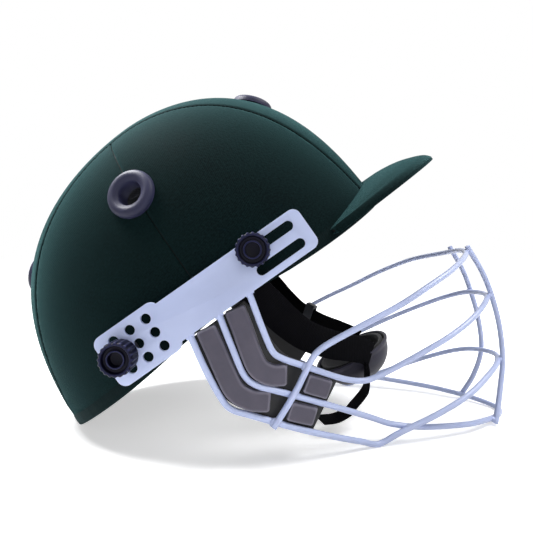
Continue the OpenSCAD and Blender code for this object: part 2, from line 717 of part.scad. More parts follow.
// Chin cup: half a long bowl with a turned lip, dipped at the front
cup_place = [1, 0, -101];
cup_dip = 8;
cup_sides = 28;
function cup_rings(off, lip) = [
  for (e = [0, 12, 28, 46, 66])
    [for (j = [0 : cup_sides - 1])
      let (a = j * 360 / cup_sides, grow = off + (e == 0 ? lip : 0))
      [(cup_l / 2 + grow) * cos(e) * signed_pow(cos(a), 0.9),
        (cup_w / 2 + grow) * cos(e) * signed_pow(sin(a), 0.9), -(cup_depth + off) * sin(e)]]
];
module cup_frame() {
  level() translate(cup_place) rotate([0, cup_dip, 0]) children();
}
module chin_cup() {
  color("#5f5a6c") cup_frame() bowl_solid(
    cup_rings(0, 1.5), [0, 0, -cup_depth], cup_rings(-cup_t, 1.5), [0, 0, cup_t - cup_depth], true
  );
}
module cup_lining() {
  color("#1c1c22") cup_frame() bowl_solid(
    cup_rings(-cup_t - 0.1, 0), [0, 0, cup_t + 0.1 - cup_depth],
    cup_rings(-cup_t - 3, 0), [0, 0, cup_t + 3 - cup_depth], true
  );
}

// Loose tail of the right strap: under the cup and back towards the jaw
tail_w = 14;
tail_route = [
  [5, -36, -103.5], [2.5, -36, -108.5], [-0.3, -36, -112.5], [-4.8, -36.5, -118], [-10, -37, -121.2],
  [-22.3, -38, -124], [-28, -39.5, -124.5], [-37, -43.5, -121.3], [-46, -48.5, -114.2]
];
module strap_tail() {
  path = smooth(tail_route, 2);
  color("#0d0d10") level() ribbon(path, [for (p = path) [0, 1, 0.1]], tail_w);
}
// Ladder slider that takes up the left strap, at a station of the strap's path
slider_place = 11;
module strap_slider() {
  path = smooth([for (p = strap_route) [p.x, p.y - strap_y, p.z]], 2);
  across_it = smooth(strap_across, 2)[slider_place];
  c = path[slider_place];
  t = tangent(path, slider_place);
  s = unit(across_it - t * (across_it * t));
  n = cross(t, s);
  function block(l, w, h) = [for (k = [-1, 1])
    [for (q = [[-1, -1], [1, -1], [1, 1], [-1, 1]]) c + t * k * l / 2 + s * q[0] * w / 2 + n * q[1] * h / 2]];
  color("#1b1b20") level() mirror([0, 1, 0]) difference() {
    sweep(block(9, strap_w + 7, 6.4));
    sweep(block(12, strap_w + 1.6, strap_t + 2.2));
  }
}

shell();
cover_centre();
cover_front_right();
cover_front_left();
cover_rear_right();
cover_rear_left();
rim_binding();
peak_board();
peak_cover();
vent_grommet_right();
vent_grommet_left();
vent_grommet_top();
vent_grommet_rear();
foam_liner();
sweatband();
crown_pad();
side_pad_right();
side_pad_left();
nape_pad();
side_plate_right();
side_plate_left();
eye_bar();
upper_bar();
middle_bar();
bottom_bar();
guard_upright_right();
guard_upright_left();
temple_backing_right();
temple_backing_left();
temple_pad_rear_right();
temple_pad_rear_left();
temple_pad_front_right();
temple_pad_front_left();
jaw_pad_front_right();
jaw_pad_front_left();
jaw_pad_rear_right();
jaw_pad_rear_left();
front_right_knob();
front_left_knob();
rear_right_knob();
rear_left_knob();
front_right_shank();
front_left_shank();
rear_right_shank();
rear_left_shank();
front_right_washer();
front_left_washer();
rear_right_washer();
rear_left_washer();
plate_spacers();
tee_nuts();
strap_rivets();
chin_strap_right();
chin_strap_left();
chin_cup();
cup_lining();
strap_tail();
strap_slider();
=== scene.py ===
import bpy, bmesh, math
from mathutils import Matrix, Vector


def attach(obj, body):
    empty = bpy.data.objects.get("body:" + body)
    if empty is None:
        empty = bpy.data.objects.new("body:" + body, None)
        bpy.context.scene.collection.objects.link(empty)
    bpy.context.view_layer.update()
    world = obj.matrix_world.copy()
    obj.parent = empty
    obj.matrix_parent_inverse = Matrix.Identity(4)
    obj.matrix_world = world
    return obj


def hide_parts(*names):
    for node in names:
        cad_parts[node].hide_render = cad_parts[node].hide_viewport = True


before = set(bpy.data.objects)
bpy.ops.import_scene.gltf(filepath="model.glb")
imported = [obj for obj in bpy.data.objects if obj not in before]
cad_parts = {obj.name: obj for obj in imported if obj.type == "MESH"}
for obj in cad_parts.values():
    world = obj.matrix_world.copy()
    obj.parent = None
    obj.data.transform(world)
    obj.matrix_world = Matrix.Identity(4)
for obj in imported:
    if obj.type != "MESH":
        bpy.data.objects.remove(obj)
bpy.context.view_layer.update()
scene = bpy.context.scene
scene.view_settings.view_transform = "Standard"
bpy.ops.object.select_all(action="DESELECT")
print("frame loaded")

# the helmet is drawn level, in millimetres, and then leaned back on its nape
pose = {"lean": 36.0, "place": (8.258, 0.0, 131.0)}
level = (Matrix.Scale(0.001, 4) @ Matrix.Translation(pose["place"])
         @ Matrix.Rotation(math.radians(-pose["lean"]), 4, "Y"))

camera = {"distance": 350.0, "focal": 28.64, "sensor": 36, "near": 0.01, "shift": (-0.0216, -0.0272)}
spot = (pose["place"][0], -camera["distance"], pose["place"][2])
bpy.ops.object.camera_add(location=[0.001 * c for c in spot], rotation=(math.radians(90), 0, 0))
eye = bpy.context.object
eye.name = "photo_camera"
eye.data.lens, eye.data.sensor_width, eye.data.clip_start = camera["focal"], camera["sensor"], camera["near"]
eye.data.shift_x, eye.data.shift_y = camera["shift"]
scene.camera = eye

# the shell's form, reached from its middle, and its arched rim, whose nape rests on the ground
shellForm = {"mid": -38.0, "front": 124.0, "rear": 162.0, "halfWidth": 98.0, "height": 146.0,
             "crownPower": 2.35, "planTop": 1.9, "planRim": 2.3, "rimDrop": 9.5, "rimArch": 8.0,
             "archAt": -45.0, "archSpread": 60.0, "browRise": 0.04, "restGap": 0.1,
             "binding": 1.4, "cloth": 1.5, "shell": 3.0}


def cosd(a):
    return math.cos(math.radians(a))


def sind(a):
    return math.sin(math.radians(a))


def signedPower(v, p):
    return math.copysign(abs(v) ** p, v)


def mix(a, b, t):
    return a + (b - a) * t


def ease(t):
    t = min(max(t, 0.0), 1.0)
    return t * t * (3 - 2 * t)


def rimHeight(x):
    f = shellForm
    arch = f["rimArch"] * (1 - math.exp(-((x - f["archAt"]) / f["archSpread"]) ** 2))
    ground = (f["restGap"] - pose["place"][2] - x * sind(pose["lean"])) / cosd(pose["lean"])
    return max(f["binding"] - f["rimDrop"] - arch + f["browRise"] * max(0, x), f["binding"] + ground)


def planPower(z):
    f = shellForm
    return f["planTop"] + (f["planRim"] - f["planTop"]) * max(0, 1 - z / f["height"]) ** 3


def formPoint(a, e, off=0.0):
    f = shellForm
    shrink = max(cosd(e), 0.0) ** (2 / f["crownPower"])
    z = (f["height"] + off) * max(sind(e), 0.0) ** (2 / f["crownPower"])
    plan = 2 / planPower(z)
    reach = (f["front"] if cosd(a) > 0 else f["rear"]) + off
    return Vector((f["mid"] + reach * shrink * signedPower(cosd(a), plan),
                   (f["halfWidth"] + off) * shrink * signedPower(sind(a), plan), z))


def formNormal(a, e, step=0.5):
    p = formPoint(a, e)
    return (formPoint(a + step, e) - p).cross(formPoint(a, e + step) - p).normalized()


def rimPoint(a, off=0.0, lift=0.0):
    p = formPoint(a, 0, off)
    return Vector((p.x, p.y, rimHeight(p.x) + lift))


def sideReach(x, off=0.0):
    # half width of the form at x, near the brow line
    f = shellForm
    reach = (f["front"] if x > f["mid"] else f["rear"]) + off
    n = f["planRim"]
    return (f["halfWidth"] + off) * (1 - (abs(x - f["mid"]) / reach) ** n) ** (1 / n)


def added(name=None):
    # the object that the last operator made
    obj = bpy.context.object
    if name:
        obj.name = obj.data.name = name
    return obj


def only(obj):
    bpy.ops.object.select_all(action="DESELECT")
    obj.select_set(True)
    bpy.context.view_layer.objects.active = obj
    return obj


def applyAll(obj):
    only(obj)
    for name in [m.name for m in obj.modifiers]:
        bpy.ops.object.modifier_apply(modifier=name)
    return obj


def addBevel(obj, width, segments=2, angle=35):
    m = obj.modifiers.new("edge", "BEVEL")
    m.width, m.segments, m.limit_method, m.angle_limit = width, segments, "ANGLE", math.radians(angle)
    return applyAll(obj)


def addSolidify(obj, thickness):
    m = obj.modifiers.new("thickness", "SOLIDIFY")
    m.thickness, m.offset, m.use_even_offset, m.use_quality_normals = thickness, -1, False, True
    return applyAll(obj)


def cutAway(obj, cutter):
    m = obj.modifiers.new("cut", "BOOLEAN")
    m.operation, m.object, m.solver = "DIFFERENCE", cutter, "MANIFOLD"
    applyAll(obj)
    bpy.data.objects.remove(cutter, do_unlink=True)
    return obj


def cleanMesh(obj, gap=1e-4):
    only(obj)
    bpy.ops.object.mode_set(mode="EDIT")
    bpy.ops.mesh.select_all(action="SELECT")
    bpy.ops.mesh.remove_doubles(threshold=gap)
    bpy.ops.mesh.normals_make_consistent(inside=False)
    bpy.ops.object.mode_set(mode="OBJECT")
    return obj


def joinAll(objs, name):
    bpy.ops.object.select_all(action="DESELECT")
    for o in objs:
        o.select_set(True)
    bpy.context.view_layer.objects.active = objs[0]
    if len(objs) > 1:
        bpy.ops.object.join()
    objs[0].name = objs[0].data.name = name
    return objs[0]


def copyMesh(obj, name, move=Matrix()):
    # a copy with its own mesh, moved by a matrix
    twin = bpy.data.objects.new(name, obj.data.copy())
    twin.data.name = name
    bpy.context.collection.objects.link(twin)
    twin.data.transform(move)
    return twin


def mirrorCopy(obj, name):
    # the wearer's left piece, copied across the middle plane
    twin = copyMesh(obj, name, Matrix.Scale(-1, 4, (0, 1, 0)))
    twin.data.flip_normals()
    return twin


def bothSides(obj):
    return ("right", obj), ("left", mirrorCopy(obj, obj.name.replace("right", "left")))


def finishPiece(obj, material, body, nodes=(), angle=40, lean=True):
    if lean:
        obj.data.transform(level)
    only(obj)
    bpy.ops.object.shade_smooth_by_angle(angle=math.radians(angle))
    obj.data.materials.clear()
    obj.data.materials.append(material)
    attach(obj, body)
    if nodes:
        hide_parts(*([nodes] if isinstance(nodes, str) else nodes))
    return obj


def runLengths(path):
    # how far along the path each of its points lies
    lengths = [0.0]
    for p, q in zip(path, path[1:]):
        lengths.append(lengths[-1] + (q - p).length)
    return lengths


def skin(name, rings, wrap=False, caps=False):
    # a grid primitive whose rows take the places of the rings, with its UV map in metres
    rows, cols = len(rings), len(rings[0]) + wrap
    bpy.ops.mesh.primitive_grid_add(x_subdivisions=cols - 1, y_subdivisions=rows - 1, size=2)
    obj = added(name)
    mesh = obj.data
    seat = []
    for v in mesh.vertices:
        i = round((v.co.y + 1) / 2 * (rows - 1))
        j = round((v.co.x + 1) / 2 * (cols - 1))
        seat.append((i, j))
        v.co = rings[i][j % len(rings[0])]
    middle = rings[rows // 2]
    along = runLengths([ring[len(ring) // 2] for ring in rings])
    around = runLengths([middle[j % len(middle)] for j in range(cols)])
    layer = mesh.uv_layers.active.data
    for loop in mesh.loops:
        i, j = seat[loop.vertex_index]
        layer[loop.index].uv = (around[j] * 0.001, along[i] * 0.001)
    if caps:
        only(obj)
        bpy.ops.object.mode_set(mode="EDIT")
        bm = bmesh.from_edit_mesh(mesh)
        bm.verts.ensure_lookup_table()
        for row in (0, rows - 1):
            ring = sorted([v for v in bm.verts if seat[v.index][0] == row], key=lambda v: seat[v.index][1])
            bm.faces.new(ring[:-1] if wrap else ring)
        bmesh.update_edit_mesh(mesh)
        bpy.ops.object.mode_set(mode="OBJECT")
    return cleanMesh(obj)


def curvePoints(points, steps):
    p = [Vector(q) for q in points]
    p = [2 * p[0] - p[1]] + p + [2 * p[-1] - p[-2]]
    out = []
    for i in range(1, len(p) - 2):
        a, b, c, d = p[i - 1], p[i], p[i + 1], p[i + 2]
        for s in range(steps):
            t = s / steps
            out.append(0.5 * (2 * b + (c - a) * t + (2 * a - 5 * b + 4 * c - d) * t * t
                              + (3 * b - a - 3 * c + d) * t ** 3))
    return out + [p[-2]]


def tangentAt(path, i):
    return (path[min(i + 1, len(path) - 1)] - path[max(i - 1, 0)]).normalized()


def evenSpots(path, pitch):
    # places one pitch apart, each as the point before it and the share of the way to the next
    lengths = runLengths(path)
    count = max(2, round(lengths[-1] / pitch))
    out, k = [], 0
    for s in range(count + 1):
        want = lengths[-1] * s / count
        while k < len(lengths) - 2 and lengths[k + 1] < want:
            k += 1
        span = lengths[k + 1] - lengths[k]
        out.append((k, (want - lengths[k]) / span if span else 0))
    return out


def evenPoints(path, pitch):
    return [path[k].lerp(path[k + 1], share) for k, share in evenSpots(path, pitch)]


def feed(tree, socket, value):
    # a socket takes either another node's output or a plain value
    if isinstance(value, bpy.types.NodeSocket):
        tree.links.new(value, socket)
    else:
        socket.default_value = value


def nodeIn(tree, kind, takes=None, **props):
    n = tree.nodes.new("ShaderNode" + kind)
    for key, value in props.items():
        setattr(n, key, value)
    for key, value in (takes or {}).items():
        feed(tree, n.inputs[key], value)
    return n


def outOf(tree, kind, takes=None, **props):
    return nodeIn(tree, kind, takes, **props).outputs[0]


def mathNode(tree, operation, a, b=0.0):
    return outOf(tree, "Math", {0: a, 1: b}, operation=operation)


def newGroup(name, takes, gives):
    g = bpy.data.node_groups.new(name, "ShaderNodeTree")
    for label, kind, value in takes:
        s = g.interface.new_socket(label, in_out="INPUT", socket_type="NodeSocket" + kind)
        if value is not None:
            s.default_value = value
    for label in gives:
        g.interface.new_socket(label, in_out="OUTPUT", socket_type="NodeSocketFloat")
    return g, g.nodes.new("NodeGroupInput").outputs, g.nodes.new("NodeGroupOutput").inputs


def rgb(r, g, b):
    # a screen colour as a linear one
    linear = [c / 255 / 12.92 if c < 10.4 else ((c / 255 + 0.055) / 1.055) ** 2.4 for c in (r, g, b)]
    return (*linear, 1)


# twill cloth: slanted threads over finer cross threads, with uneven yarn
twill = {"turn": 6.2832, "slope": 0.5, "slant": 0.3, "crossings": 1.5, "cross": 0.2, "middle": 0.5,
         "yarnScale": 0.1, "yarnDetail": 3.0}
weave, take, give = newGroup("twillWeave", [("Vector", "Vector", None), ("Pitch", "Float", 0.0008),
                                            ("Unevenness", "Float", 0.4)], ["Height", "Mask"])
perPitch = mathNode(weave, "DIVIDE", twill["turn"], take["Pitch"])
scaled = outOf(weave, "VectorMath", {0: take["Vector"], "Scale": perPitch}, operation="SCALE")
axes = nodeIn(weave, "SeparateXYZ", {0: scaled}).outputs
yarn = {"Vector": scaled, "Scale": twill["yarnScale"], "Detail": twill["yarnDetail"]}
yarn = mathNode(weave, "SUBTRACT", outOf(weave, "TexNoise", yarn), 0.5)
slant = mathNode(weave, "ADD", axes[0], mathNode(weave, "MULTIPLY", axes[1], twill["slope"]))
slant = mathNode(weave, "MULTIPLY", mathNode(weave, "SINE", slant), twill["slant"])
cross = mathNode(weave, "SINE", mathNode(weave, "MULTIPLY", axes[1], twill["crossings"]))
total = mathNode(weave, "ADD", slant, mathNode(weave, "MULTIPLY", cross, twill["cross"]))
total = mathNode(weave, "ADD", total, mathNode(weave, "MULTIPLY", yarn, take["Unevenness"]))
total = mathNode(weave, "ADD", total, twill["middle"])
weave.links.new(total, give["Height"])
weave.links.new(outOf(weave, "Clamp", {0: total}), give["Mask"])

# slow drift of tone over a surface, as dye, dust and handling leave it
drift, take, give = newGroup("toneDrift", [("Vector", "Vector", None), ("Scale", "Float", 12.0)], ["Mask"])
cloud = {"Vector": take["Vector"], "Scale": take["Scale"], "Detail": 4.0, "Roughness": 0.6}
drift.links.new(outOf(drift, "MapRange", {0: outOf(drift, "TexNoise", cloud), 1: 0.3, 2: 0.7}), give["Mask"])

# moulded grain: small pebbles with fine noise on them
pebbles = {"dent": -0.7, "speck": 0.4, "finer": 2.3, "detail": 2.0}
grain, take, give = newGroup("mouldedGrain", [("Vector", "Vector", None), ("Scale", "Float", 900.0)],
                             ["Height"])
pebble = outOf(grain, "TexVoronoi", {"Vector": take["Vector"], "Scale": take["Scale"]}, feature="SMOOTH_F1")
finer = mathNode(grain, "MULTIPLY", take["Scale"], pebbles["finer"])
speck = outOf(grain, "TexNoise", {"Vector": take["Vector"], "Scale": finer, "Detail": pebbles["detail"]})
grain.links.new(mathNode(grain, "ADD", mathNode(grain, "MULTIPLY", pebble, pebbles["dent"]),
                         mathNode(grain, "MULTIPLY", speck, pebbles["speck"])), give["Height"])

# worn edges and painted highlight: where the surface turns sharply outward the colour is lightened, as real
# wear on some parts and as a painted highlight on others
wearAndHighlight, take, give = newGroup("edgeWear", [("Start", "Float", 0.52), ("End", "Float", 0.6)], ["Mask"])
turning = nodeIn(wearAndHighlight, "NewGeometry").outputs["Pointiness"]
wearAndHighlight.links.new(outOf(wearAndHighlight, "MapRange", {0: turning, 1: take["Start"], 2: take["End"]}), give["Mask"])


def placeGroup(tree, group, **takes):
    return nodeIn(tree, "Group", takes, node_tree=group).outputs


def mixColour(tree, factor, a, b):
    # the colour sockets of the mix node are its seventh and eighth inputs and its third output
    return nodeIn(tree, "Mix", {0: factor, 6: a, 7: b}, data_type="RGBA").outputs[2]


def newMaterial(name, c):
    # the material, its tone mask, and a coordinate to lay things on
    mat = bpy.data.materials.new(name)
    mat.use_nodes = True
    tree = mat.node_tree
    shader = tree.nodes["Principled BSDF"]
    for key, value in c.get("plain", {}).items():
        shader.inputs[key].default_value = value
    coord = nodeIn(tree, "TexCoord").outputs
    tone = placeGroup(tree, drift, Vector=coord["Object"], Scale=c["driftScale"])["Mask"]
    return mat, tree, shader.inputs, coord, tone


def surface(tree, plugs, c, colour, tone, height):
    tree.links.new(colour, plugs["Base Color"])
    tree.links.new(outOf(tree, "MapRange", {0: tone, 3: c["rough"][0], 4: c["rough"][1]}), plugs["Roughness"])
    bump = {"Height": height, "Strength": c["bump"], "Distance": c["depth"]}
    tree.links.new(outOf(tree, "Bump", bump), plugs["Normal"])


# where and how steeply the painted sheen grows as the cloth turns edge on
paintedSheenRamp = {"from": 0.1, "to": 0.85, "power": 1.6}


def clothMaterial(name, c):
    # woven cloth on the UV map, which is in metres
    c = {"sheenRoughness": 0.3, "specular": 0.03, "depth": 0.0002, **c}
    c["plain"] = {"Sheen Weight": c["sheen"], "Sheen Roughness": c["sheenRoughness"],
                  "Sheen Tint": rgb(*c["sheenTint"]), "Specular IOR Level": c["specular"]}
    mat, tree, plugs, coord, tone = newMaterial(name, c)
    cloth = placeGroup(tree, weave, Vector=coord["UV"], Pitch=c["pitch"], Unevenness=c["uneven"])
    colour = mixColour(tree, cloth["Mask"], rgb(*c["low"]), rgb(*c["high"]))
    colour = mixColour(tree, mathNode(tree, "MULTIPLY", tone, c["fade"]), colour, rgb(*c["faded"]))
    if "paintedSheen" in c:
        # painted sheen: the colour is lightened where the cloth is seen edge on, standing in for light that
        # raised fibres catch
        facing = nodeIn(tree, "LayerWeight", {"Blend": 0.5}).outputs["Facing"]
        edgeOn = outOf(tree, "MapRange", {0: facing, 1: paintedSheenRamp["from"], 2: paintedSheenRamp["to"]})
        colour = mixColour(tree, mathNode(tree, "POWER", edgeOn, paintedSheenRamp["power"]), colour, rgb(*c["paintedSheen"]))
    surface(tree, plugs, c, colour, tone, cloth["Height"])
    return mat


def solidMaterial(name, c):
    # plastic, rubber, foam, coated or bare metal, on Object coordinates
    mat, tree, plugs, coord, tone = newMaterial(name, c)
    colour = mixColour(tree, tone, rgb(*c["low"]), rgb(*c["high"]))
    # turned edges lightened: real wear, and a painted highlight on the knobs, grommets and temple pads
    if "wornAndHighlit" in c:
        edge = placeGroup(tree, wearAndHighlight, Start=c["wearAndHighlightFrom"][0], End=c["wearAndHighlightFrom"][1])["Mask"]
        colour = mixColour(tree, mathNode(tree, "MULTIPLY", edge, c["wearAndHighlightShare"]), colour, rgb(*c["wornAndHighlit"]))
    height = placeGroup(tree, grain, Vector=coord["Object"], Scale=c["grainScale"])["Height"]
    surface(tree, plugs, c, colour, tone, height)
    return mat


# in both cloths the lighter colour for cloth seen edge on is a painted sheen
greenCloth = clothMaterial("green_cloth", {
    "low": (2, 7, 8), "high": (14, 30, 31), "faded": (20, 40, 40), "fade": 0.35, "pitch": 0.00085,
    "uneven": 2.0, "driftScale": 16.0, "rough": (0.78, 0.9), "sheen": 0.22, "sheenTint": (130, 190, 190),
    "bump": 0.6, "paintedSheen": (28, 52, 54)})
bindingCloth = clothMaterial("binding_cloth", {
    "low": (6, 13, 14), "high": (17, 30, 31), "faded": (22, 38, 38), "fade": 0.3, "pitch": 0.0011,
    "uneven": 0.8, "driftScale": 20.0, "rough": (0.7, 0.85), "sheen": 0.15, "sheenTint": (120, 165, 165),
    "bump": 0.6, "paintedSheen": (22, 38, 40)})
padCloth = clothMaterial("pad_cloth", {
    "low": (20, 21, 25), "high": (58, 60, 66), "faded": (76, 78, 84), "fade": 0.25, "pitch": 0.0016,
    "uneven": 0.5, "driftScale": 14.0, "rough": (0.8, 0.95), "sheen": 0.3, "sheenRoughness": 0.5,
    "sheenTint": (180, 180, 190), "specular": 0.15, "bump": 0.8, "depth": 0.0004})
webbingCloth = clothMaterial("webbing_cloth", {
    "low": (2, 2, 4), "high": (9, 9, 12), "faded": (14, 14, 18), "fade": 0.25, "pitch": 0.0009,
    "uneven": 0.5, "driftScale": 18.0, "rough": (0.55, 0.75), "sheen": 0.02, "sheenRoughness": 0.35,
    "sheenTint": (150, 150, 165), "bump": 0.5})
threadCloth = clothMaterial("seam_thread", {
    "low": (1, 3, 4), "high": (4, 8, 9), "faded": (7, 12, 13), "fade": 0.2, "pitch": 0.0005,
    "uneven": 0.4, "driftScale": 30.0, "rough": (0.6, 0.75), "sheen": 0.02, "sheenRoughness": 0.4,
    "sheenTint": (120, 150, 140), "bump": 0.3, "depth": 0.0001})
coatedSteel = solidMaterial("coated_steel", {
    "low": (178, 190, 228), "high": (192, 203, 239), "driftScale": 14.0, "rough": (0.3, 0.42),
    "grainScale": 420.0, "bump": 0.04, "depth": 0.0001,
    "plain": {"Coat Weight": 0.35, "Coat Roughness": 0.25, "Specular IOR Level": 0.5}})
# the light colour on the knob's turned rims is a painted highlight
knobPlastic = solidMaterial("knob_plastic", {
    "low": (4, 4, 15), "high": (10, 10, 28), "driftScale": 60.0, "rough": (0.26, 0.36),
    "wornAndHighlit": (70, 74, 118), "wearAndHighlightFrom": (0.52, 0.6), "wearAndHighlightShare": 0.8, "grainScale": 1500.0, "bump": 0.12,
    "depth": 0.0001, "plain": {"Specular IOR Level": 0.08}})
# the grommet's lighter rims are partly dust and wear and partly a painted highlight
grommetPlastic = solidMaterial("grommet_plastic", {
    "low": (25, 26, 48), "high": (37, 38, 64), "driftScale": 45.0, "rough": (0.45, 0.6),
    "wornAndHighlit": (78, 80, 116), "wearAndHighlightFrom": (0.52, 0.62), "wearAndHighlightShare": 0.35, "grainScale": 1300.0, "bump": 0.3,
    "depth": 0.00015, "plain": {"Specular IOR Level": 0.25}})
# the pale colour on the pads' rounded edges is a painted highlight
templeFoam = solidMaterial("temple_foam", {
    "low": (72, 69, 82), "high": (90, 86, 99), "driftScale": 40.0, "rough": (0.62, 0.76),
    "wornAndHighlit": (172, 168, 182), "wearAndHighlightFrom": (0.515, 0.57), "wearAndHighlightShare": 0.6, "grainScale": 2600.0, "bump": 0.35,
    "depth": 0.00012, "plain": {"Sheen Weight": 0.12, "Specular IOR Level": 0.35}})
backingSheet = solidMaterial("backing_sheet", {
    "low": (6, 6, 9), "high": (16, 16, 21), "driftScale": 30.0, "rough": (0.5, 0.65),
    "wornAndHighlit": (74, 71, 82), "wearAndHighlightFrom": (0.52, 0.62), "wearAndHighlightShare": 0.5, "grainScale": 1400.0, "bump": 0.25,
    "depth": 0.00015, "plain": {"Specular IOR Level": 0.4}})
cupLeather = solidMaterial("cup_leather", {
    "low": (20, 18, 34), "high": (33, 30, 50), "driftScale": 35.0, "rough": (0.5, 0.68),
    "wornAndHighlit": (70, 66, 86), "wearAndHighlightFrom": (0.52, 0.6), "wearAndHighlightShare": 0.4, "grainScale": 900.0, "bump": 0.4,
    "depth": 0.0002, "plain": {"Specular IOR Level": 0.4, "Sheen Weight": 0.1}})
cupFoam = solidMaterial("cup_foam", {
    "low": (12, 12, 15), "high": (30, 30, 35), "driftScale": 40.0, "rough": (0.8, 0.95),
    "grainScale": 1100.0, "bump": 0.5, "depth": 0.0003, "plain": {"Sheen Weight": 0.2}})
shellPlastic = solidMaterial("shell_plastic", {
    "low": (5, 8, 9), "high": (12, 17, 18), "driftScale": 20.0, "rough": (0.5, 0.65),
    "grainScale": 700.0, "bump": 0.15, "depth": 0.00015, "plain": {"Specular IOR Level": 0.2}})
linerFoam = solidMaterial("liner_foam", {
    "low": (34, 36, 40), "high": (56, 59, 64), "driftScale": 30.0, "rough": (0.85, 0.97),
    "wornAndHighlit": (88, 90, 96), "wearAndHighlightFrom": (0.53, 0.62), "wearAndHighlightShare": 0.4, "grainScale": 520.0, "bump": 0.6,
    "depth": 0.0004})
bareSteel = solidMaterial("bare_steel", {
    "low": (150, 154, 162), "high": (186, 190, 197), "driftScale": 60.0, "rough": (0.22, 0.38),
    "wornAndHighlit": (214, 216, 220), "wearAndHighlightFrom": (0.53, 0.62), "wearAndHighlightShare": 0.5, "grainScale": 1800.0, "bump": 0.08,
    "depth": 0.0001, "plain": {"Metallic": 0.95}})
spacerPlastic = solidMaterial("spacer_plastic", {
    "low": (30, 32, 38), "high": (46, 48, 55), "driftScale": 50.0, "rough": (0.4, 0.55),
    "grainScale": 1200.0, "bump": 0.15, "depth": 0.0001})
print("materials made")

# CAD nodes that stay, with their finishes
keptNodes = {"shell": shellPlastic, "peak_board": shellPlastic, "plate_spacers": spacerPlastic,
             "tee_nuts": bareSteel, "strap_rivets": bareSteel}
for where in ("front_right", "front_left", "rear_right", "rear_left"):
    keptNodes[where + "_shank"] = bareSteel
    keptNodes[where + "_washer"] = bareSteel
for nodeName, material in keptNodes.items():
    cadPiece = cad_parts[nodeName]
    for slotPlace in cadPiece.material_slots:
        slotPlace.material = material

# cloth cover: one dome with a loop of edges at each fold line, split into five panels
cover = {"sides": 288, "rises": 180, "halfSeam": 0.3, "panelHalf": 50.0, "split": -51.0,
         "folds": (0.3, 0.8, 1.4, 2.2, 3.4), "dip": 0.8, "round": 2.2, "reach": 3.0, "slack": 0.01,
         "pucker": 0.07, "puckerPitch": 5.5, "puckerAt": 1.6, "puckerWide": 1.4, "thickness": 1.1,
         "ventRadius": 11.6, "ventCut": (-12, 8)}
thread = {"hub": 20.0, "centreReach": 140.0, "sideReach": 110.0}
vents = {"right": (-96.5, 31.0), "left": (96.5, 31.0), "top": (0.0, 45.6), "rear": (180.0, 39.4)}


def spotKey(v):
    return tuple(round(c, 3) for c in v.co)


def domeSkin(name, off, sides, rises, lift=0.0, steps=(0.34, 0.67, 1.0)):
    # a sphere primitive shaped to the form, with its lower half drawn down to the rim
    bpy.ops.mesh.primitive_uv_sphere_add(segments=sides, ring_count=rises, radius=1)
    obj = added(name)
    bpy.ops.object.mode_set(mode="EDIT")
    bm = bmesh.from_edit_mesh(obj.data)
    lower = [v for v in bm.verts if v.co.z < -1e-4]
    bmesh.ops.delete(bm, geom=lower, context="VERTS")
    angles = {}
    for v in bm.verts:
        a = math.degrees(math.atan2(v.co.y, v.co.x))
        e = math.degrees(math.asin(min(1, max(0, v.co.z))))
        angles[v] = a
        v.co = formPoint(a, 90 if e > 89.99 else e, off)
    edge = [e for e in bm.edges if e.is_boundary]
    start = {v: angles[v] for e in edge for v in e.verts}
    for share in steps:
        made = bmesh.ops.extrude_edge_only(bm, edges=edge)["geom"]
        byPlace = {spotKey(v): a for v, a in start.items()}
        start = {v: byPlace[spotKey(v)] for v in made if isinstance(v, bmesh.types.BMVert)}
        for v, a in start.items():
            low = rimPoint(a, off, lift)
            v.co = Vector((low.x, low.y, mix(0, low.z, share)))
        edge = [g for g in made if isinstance(g, bmesh.types.BMEdge) and g.is_boundary]
    bmesh.update_edit_mesh(obj.data)
    bpy.ops.object.mode_set(mode="OBJECT")
    return cleanMesh(obj)


def ventFrame(a, e):
    n = formNormal(a, e)
    turn = Matrix.Rotation(math.atan2(n.y, n.x), 4, "Z") @ Matrix.Rotation(math.acos(n.z), 4, "Y")
    return Matrix.Translation(formPoint(a, e)) @ turn


def pinAt(radius, depth, move, sides):
    bpy.ops.mesh.primitive_cylinder_add(vertices=sides, radius=radius, depth=depth)
    pin = added()
    pin.data.transform(move)
    return pin


def ventCutter(radius, low, high):
    lift = Matrix.Translation((0, 0, (high + low) / 2))
    pins = [pinAt(radius, high - low, ventFrame(a, e) @ lift, 72) for a, e in vents.values()]
    return joinAll(pins, "vent_cutter")


def layUv(obj, place):
    # the UV map, in metres, where a function puts each corner
    layer = obj.data.uv_layers.active or obj.data.uv_layers.new(name="cloth")
    for loop in obj.data.loops:
        layer.data[loop.index].uv = place(obj.data.vertices[loop.vertex_index].co)


def centreThreads(p):
    # threads run along and across the panel
    turn = math.atan2(p.z + thread["hub"], p.x - shellForm["mid"])
    return p.y * 0.001, turn * thread["centreReach"] * 0.001


def sideThreads(p):
    return p.x * 0.001, math.atan2(p.z + thread["hub"], abs(p.y)) * thread["sideReach"] * 0.001


dome = domeSkin("cover_dome", 0, cover["sides"], cover["rises"])
only(dome)
bpy.ops.object.mode_set(mode="EDIT")
seams = (((0, 1, 0), cover["panelHalf"]), ((0, 1, 0), -cover["panelHalf"]), ((1, 0, 0), cover["split"]))
for normal, place in seams:
    for fold in cover["folds"]:
        for side in (-1, 1):
            bpy.ops.mesh.select_all(action="SELECT")
            where = place + side * fold
            bpy.ops.mesh.bisect(plane_co=[c * where for c in normal], plane_no=normal)
bpy.ops.object.mode_set(mode="OBJECT")


def seamGap(p, centre):
    # how far a point is from the nearest seam of its panel
    gap = abs(abs(p.y) - cover["panelHalf"])
    return gap if centre else min(gap, abs(p.x - cover["split"]))


